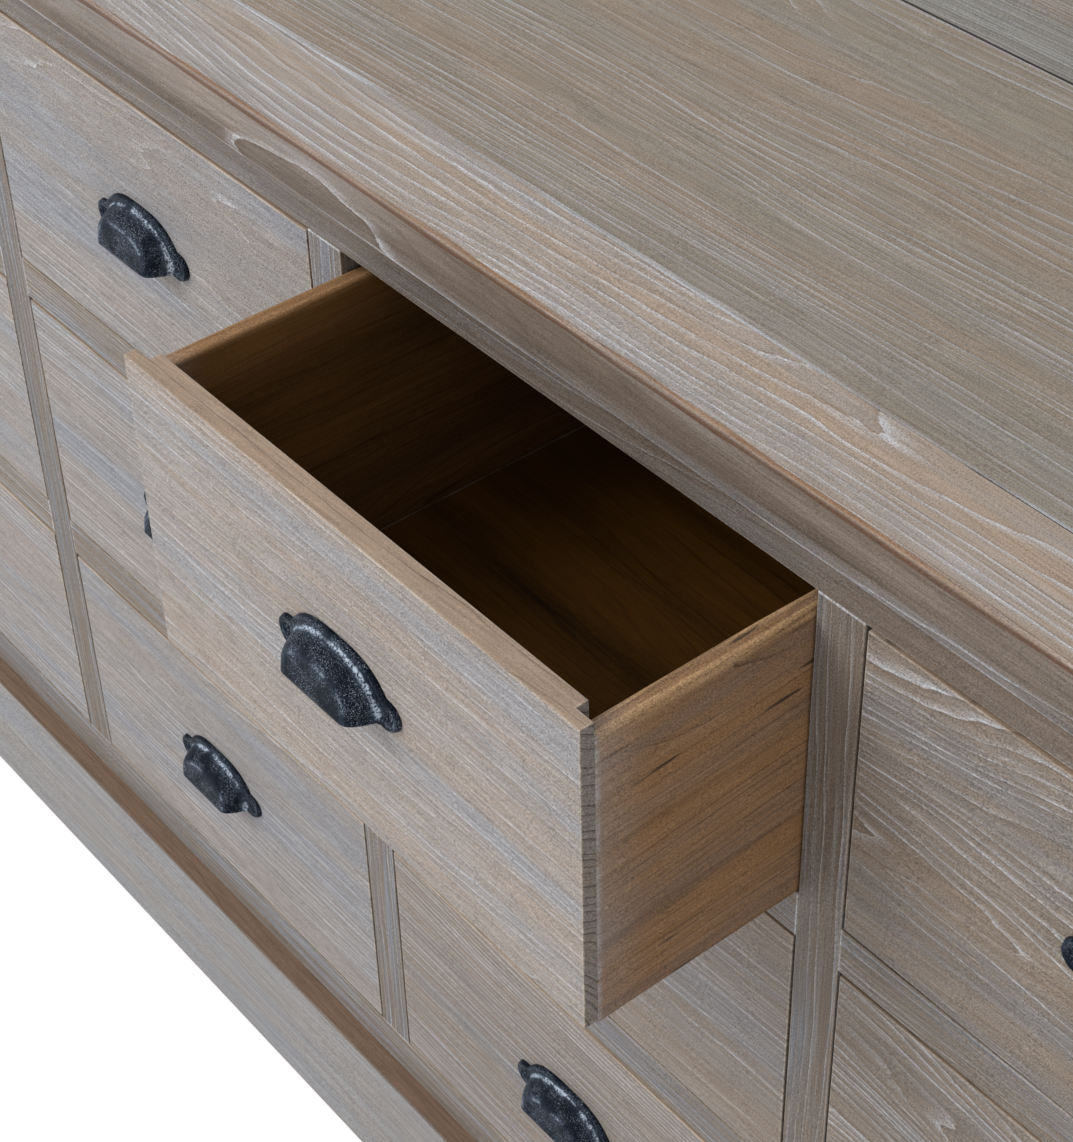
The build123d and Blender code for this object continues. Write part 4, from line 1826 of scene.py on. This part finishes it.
    def screw(self) -> bpy.types.Mesh:
        """Makes a slotted screw head.

        Returns:
            Its mesh, about its own middle and looking along -Y.
        """
        work = bmesh.new()
        radius = self.screw_head_r
        round_floor = [
            work.verts.new((radius * math.cos(a), 0, radius * math.sin(a)))
            for a in np.linspace(0, 2 * math.pi, 24, endpoint=False)
        ]
        self.raise_prism(work, round_floor, self.screw_slot_floor)
        tip = math.acos(self.screw_slot_half / radius)
        inside, depth = 0.985 * radius, -0.5 * self.screw_slot_floor
        for side in (-1, 1):
            half_head = [
                work.verts.new((side * inside * math.cos(a), depth, inside * math.sin(a)))
                for a in np.linspace(-tip, tip, 13)
            ]
            self.raise_prism(work, half_head, self.screw_head_h)
        bmesh.ops.recalc_face_normals(work, faces=work.faces)
        mesh = finished(work, "pull_screw")
        # A little rub and painted highlight on the screw heads.
        write_numbers(mesh, "rub_and_highlight", np.full(len(mesh.vertices), self.screw_rub_and_highlight))
        return mesh

    @staticmethod
    def raise_prism(work: bmesh.types.BMesh, base: list[bmesh.types.BMVert], height: float) -> None:
        """Raises a closed prism with a chamfered top.

        Args:
            work: What it is added to.
            base: The corners of its base.
            height: How far it rises along -Y.
        """
        centre = sum((v.co for v in base), Vector()) / len(base)
        rings = [base]
        for share, lift in ((1.0, 0.7), (0.9, 1.0)):
            rise = Vector((0, -lift * height, 0))
            rings.append([work.verts.new(centre + share * (v.co - centre) + rise) for v in base])
        work.faces.new(base)
        work.faces.new(rings[-1])
        for low, high in zip(rings, rings[1:]):
            for i in range(len(base)):
                j = (i + 1) % len(base)
                work.faces.new((low[i], low[j], high[j], high[i]))


@dataclass
class Drawer:
    """One drawer: a rebated front, two sides, a back, a bottom and its pull."""

    tag: str
    sawing: Sawing
    casting: bpy.types.Mesh
    pull: CupPull
    copies: CopyTree
    finish: WoodFinish = LIMED
    side_t: float = 0.011
    lip_t: float = 0.0075
    side_round: float = 0.003
    back_t: float = 0.011
    back_inset: float = 0.008
    back_drop: float = 0.003
    bottom_t: float = 0.006
    bottom_lift: float = 0.007
    arris: Edge = Edge(0.0006, worn=0.6)
    pin_count: int = 4
    pin_pitch: float = 0.0446
    pin_low: float = 0.025
    pin_inset: float = 0.005
    pin_r: float = 0.0012
    pin_rise: float = 0.00008
    floor_pin_count: int = 3
    floor_pin_pitch: float = 0.11
    floor_pin_inset: float = 0.066
    glue_width: float = 0.0032
    glue_haze: float = 0.22
    side_wear: tuple[float, float] = (0.3, 0.8)
    # How far the inner faces of the sides take the dark inside colour, which is partly painted shade.
    side_bare: float = 0.78
    lean: float = 0.06
    pin_seed: int = 37
    screw_seed: int = 31
    body: str = field(init=False)

    def __post_init__(self) -> None:
        """Works out the body's name."""
        self.body = f"drawer_{self.tag}"

    def build(self) -> None:
        """Makes the front, the box and the pull."""
        self.front()
        self.box()
        self.pins()
        self.handle()

    def front(self) -> None:
        """Makes the front, rebated behind both ends for the sides."""
        node = f"drawer_front_{self.tag}"
        lo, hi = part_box(node)
        lip = lo.y + self.lip_t
        x0, x1 = lo.x + self.side_t, hi.x - self.side_t
        outer = ((lo.x, lo.y, self.arris), (hi.x, lo.y, self.arris), (hi.x, lip, CRISP))
        inner = ((x1, lip, CRISP), (x1, hi.y, CRISP), (x0, hi.y, CRISP), (x0, lip, CRISP))
        plan = section_of(*outer, *inner, (lo.x, lip, CRISP))
        cut = Cut(Axis.X, Axis.Y, self.sawing, self.lean)
        end = Edge(self.arris.radius, worn=0.65)
        board = Board(f"{node}_wood", plan, Axis.Z, lo.z, hi.z, cut, end, bare=(0, 0, 1))
        dressed(board.mesh(), board.name, self.finish, self.body, "front_wood", node)

    def box(self) -> None:
        """Makes the two sides, the back and the bottom."""
        node = f"drawer_box_{self.tag}"
        lo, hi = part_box(node)
        x0, x1 = lo.x + self.side_t, hi.x - self.side_t
        # The insides of the sides, the back and the bottom take the dark inside colour, partly painted
        # shade.
        boards = []
        for inward, wear, left, right in zip((1, -1), self.side_wear, (lo.x, x1), (x0, hi.x)):
            box = (Vector((left, lo.y, lo.z)), Vector((right, hi.y, hi.z)))
            top = Edge(self.side_round, worn=wear)
            cut = Cut(Axis.Y, Axis.X, Sawing.RIFT, self.lean)
            boards.append(squared(
                f"{node}_side_{inward}", box, Axis.Y, cut, CRISP, {(-1, 0, 1): top, (1, 0, 1): top},
                end=FILLED, bare=(self.side_bare * inward, 0, 0), arc_steps=5, fade=self.glue_width,
                haze=self.glue_haze,
            ))
        y0, y1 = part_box(f"drawer_front_{self.tag}")[1].y, hi.y - self.back_inset
        z0 = lo.z + self.bottom_lift
        z1 = z0 + self.bottom_t
        box = (Vector((x0, y1 - self.back_t, z1)), Vector((x1, y1, hi.z - self.back_drop)))
        boards.append(squared(f"{node}_back", box, Axis.X, Cut(Axis.X, Axis.Y), FAINT, end=CRISP,
                              bare=(0, -1, 0)))
        box = (Vector((x0, y0, z0)), Vector((x1, y1, z1)))
        boards.append(squared(f"{node}_bottom", box, Axis.X, Cut(Axis.X, Axis.Z), CRISP, end=SEAM,
                              bare=(0, 0, 1)))
        name = f"{node}_wood"
        mesh = joined([board.mesh() for board in boards], name)
        dressed(mesh, name, NATURAL, self.body, "drawer_wood", node)

    def pins(self) -> None:
        """Sets the filled pin holes that hold the front and the bottom to the sides."""
        lo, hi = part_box(f"drawer_box_{self.tag}")
        sides = (2, Vector((hi.x - lo.x, 0, 0)))
        front = Vector((0, self.pin_inset, self.pin_low))
        floor = Vector((0, self.floor_pin_inset, self.bottom_lift + self.bottom_t / 2))
        up = (self.pin_count, Vector((0, 0, self.pin_pitch)))
        back = (self.floor_pin_count, Vector((0, self.floor_pin_pitch, 0)))
        meshes = [
            self.copies.lay(self.pin(), FILLER, lo + first, (sides, steps), self.pin_seed)
            for first, steps in ((front, up), (floor, back))
        ]
        name = f"pin_fillers_{self.tag}"
        dressed(joined(meshes, name), name, FILLER, self.body, "drawer_wood")

    def pin(self) -> bpy.types.Mesh:
        """Makes the low round end of one filled pin hole.

        Returns:
            Its mesh, about the origin.
        """
        work = bmesh.new()
        tip_out, tip_in = (work.verts.new((side * self.pin_rise, 0, 0)) for side in (1, -1))
        rim = [
            work.verts.new((0, self.pin_r * math.cos(a), self.pin_r * math.sin(a)))
            for a in np.linspace(0, 2 * math.pi, 12, endpoint=False)
        ]
        for first, second in zip(rim, [*rim[1:], rim[0]]):
            work.faces.new((first, second, tip_out))
            work.faces.new((second, first, tip_in))
        mesh = finished(work, "pin_filler")
        places = np.array([v.co for v in mesh.vertices])
        write_vectors(mesh, "grain", places[:, (1, 2, 0)] + (0.0, 0.05, 0.05))
        write_vectors(mesh, "facing", 0 * places + (0.0, 0.0, 1.0))
        write_vectors(mesh, "dress", 0 * places)
        write_numbers(mesh, "board", 0 * places[:, 0])
        return mesh

    def handle(self) -> None:
        """Sets the casting and its two screws in place."""
        node = f"cup_pull_{self.tag}"
        lo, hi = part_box(node)
        face_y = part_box(f"drawer_front_{self.tag}")[0].y
        place = Vector(((lo.x + hi.x) / 2, face_y, lo.z + self.pull.ear_r))
        mesh = self.casting.copy()
        mesh.transform(Matrix.Translation(place))
        dressed(mesh, f"{node}_casting", IronFinish(), self.body, "pull_iron", node)
        start = place + Vector((-self.pull.ear_x, -self.pull.plate_h + self.pull.recess_d, 0))
        steps = ((2, Vector((2 * self.pull.ear_x, 0, 0))), ONCE)
        screws = self.copies.lay(self.pull.screw(), IronFinish(), start, steps, self.screw_seed)
        dressed(screws, f"pull_screws_{self.tag}", IronFinish(), self.body, "pull_iron")


@dataclass(frozen=True)
class Lamp:
    """A soft square lamp: its place, the side of its square and its power in watts."""

    name: str
    place: tuple[float, float, float]
    side: float
    power: float


@dataclass
class Studio:
    """The floor, the light and the camera."""

    lens_px: float = 2517.1
    photo_w: int = 1073
    photo_h: int = 1142
    sensor: float = 36.0
    camera_place: tuple[float, float, float] = (0.88895, -0.7624, 1.4106)
    azimuth: float = 52.053
    elevation: float = 40.223
    roll: float = -1.742
    ambient: float = 0.4
    floor_half: float = 9.0
    floor_glow: float = 0.45
    lamps: tuple[Lamp, ...] = (
        Lamp("key_light", (-1.9, -2.7, 3.1), 2.4, 94.0),
        Lamp("fill_light", (2.8, -1.6, 2.2), 2.4, 9.0),
    )
    aim: tuple[float, float, float] = (0.2, 0.0, 0.5)

    def build(self) -> None:
        """Makes the floor, the world, the lamps and the camera."""
        self.floor()
        self.world()
        for lamp in self.lamps:
            self.hang(lamp)
        self.camera()

    def floor(self) -> None:
        """Makes a plain white floor that keeps the chest's shadow."""
        mesh = bpy.data.meshes.new("studio_floor")
        h = self.floor_half
        mesh.from_pydata([(-h, -h, 0), (h, -h, 0), (h, h, 0), (-h, h, 0)], [], [(0, 1, 2, 3)])
        material, graph, shader = new_material("studio_floor")
        shader.inputs["Base Color"].default_value = (0.9, 0.9, 0.9, 1.0)
        shader.inputs["Roughness"].default_value = 0.9
        shader.inputs["Emission Color"].default_value = (1.0, 1.0, 1.0, 1.0)
        graph.feed(shader.inputs["Emission Strength"], graph.times(graph.seen(), self.floor_glow))
        mesh.materials.append(material)
        floor = bpy.data.objects.new("studio_floor", mesh)
        bpy.context.scene.collection.objects.link(floor)
        floor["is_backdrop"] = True

    def world(self) -> None:
        """Makes a white surround that shows white and lights the chest evenly."""
        world = bpy.data.worlds.new("studio")
        bpy.context.scene.world = world
        world.use_nodes = True
        graph = Graph(world.node_tree)
        back = world.node_tree.nodes["Background"]
        back.inputs["Color"].default_value = (1.0, 1.0, 1.0, 1.0)
        strength = graph.times_plus(graph.seen(), 1 - self.ambient, self.ambient)
        graph.feed(back.inputs["Strength"], strength)

    def hang(self, lamp: Lamp) -> None:
        """Hangs a lamp so that it looks at the chest."""
        data = bpy.data.lights.new(lamp.name, "AREA")
        data.size = lamp.side
        data.energy = lamp.power
        hung = bpy.data.objects.new(lamp.name, data)
        hung.location = lamp.place
        way = Vector(self.aim) - Vector(lamp.place)
        hung.rotation_euler = way.to_track_quat("-Z", "Y").to_euler()
        bpy.context.scene.collection.objects.link(hung)

    def camera(self) -> None:
        """Sets the camera at the photograph's place and angle."""
        data = bpy.data.cameras.new("camera")
        data.sensor_width = self.sensor
        data.lens = self.lens_px * self.sensor / max(self.photo_w, self.photo_h)
        data.clip_start, data.clip_end = 0.05, 60.0
        a, e, r = (math.radians(x) for x in (self.azimuth, self.elevation, self.roll))
        level = Vector((math.cos(a), math.sin(a), 0))
        back = Vector((math.sin(a) * math.cos(e), -math.cos(a) * math.cos(e), math.sin(e)))
        up = back.cross(level)
        right = math.cos(r) * level + math.sin(r) * up
        top = -math.sin(r) * level + math.cos(r) * up
        turn = Matrix((right, top, back)).transposed().to_4x4()
        camera = bpy.data.objects.new("camera", data)
        camera.matrix_world = Matrix.Translation(self.camera_place) @ turn
        bpy.context.scene.collection.objects.link(camera)
        bpy.context.scene.camera = camera


def corners(bounds: tuple[Vector, Vector]) -> list[list[float]]:
    """Two corners as plain lists."""
    return [list(corner) for corner in bounds]


def front_finish(row: int, column: int) -> WoodFinish:
    """Picks the finish of a drawer's front: cooler at the left, and darker in the right column and
    below the open drawer, partly each front's own tone and partly painted shade.

    Args:
        row: The drawer's row, from 1 on top.
        column: The drawer's column, from 1 at the left.

    Returns:
        The finish.
    """
    if column <= 2:
        return LIMED_COOLER
    if column == COLUMNS:
        return LIMED_DARK
    return LIMED_MIDDLING if row > 1 else LIMED


def main() -> None:
    """Builds every sub-assembly in order."""
    logging.basicConfig(level=logging.INFO, format="%(message)s")
    cad_box = corners(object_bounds())
    copies = CopyTree()
    Top().build()
    FaceFrame().build()
    Carcass(copies).build()
    Plinth().build()
    pull = CupPull()
    casting = pull.casting()
    for row in range(1, ROWS + 1):
        for column in range(1, COLUMNS + 1):
            sawing = Sawing.FLAT if (row + column) % 2 == 1 else Sawing.RIFT
            finish = front_finish(row, column)
            Drawer(f"r{row}c{column}", sawing, casting, pull, copies, finish).build()
    bpy.data.meshes.remove(casting)
    Studio().build()
    bpy.context.scene.view_settings.view_transform = "Standard"
    {"cad": cad_box, "visual": corners(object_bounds())}


if __name__ == "__main__":
    main()
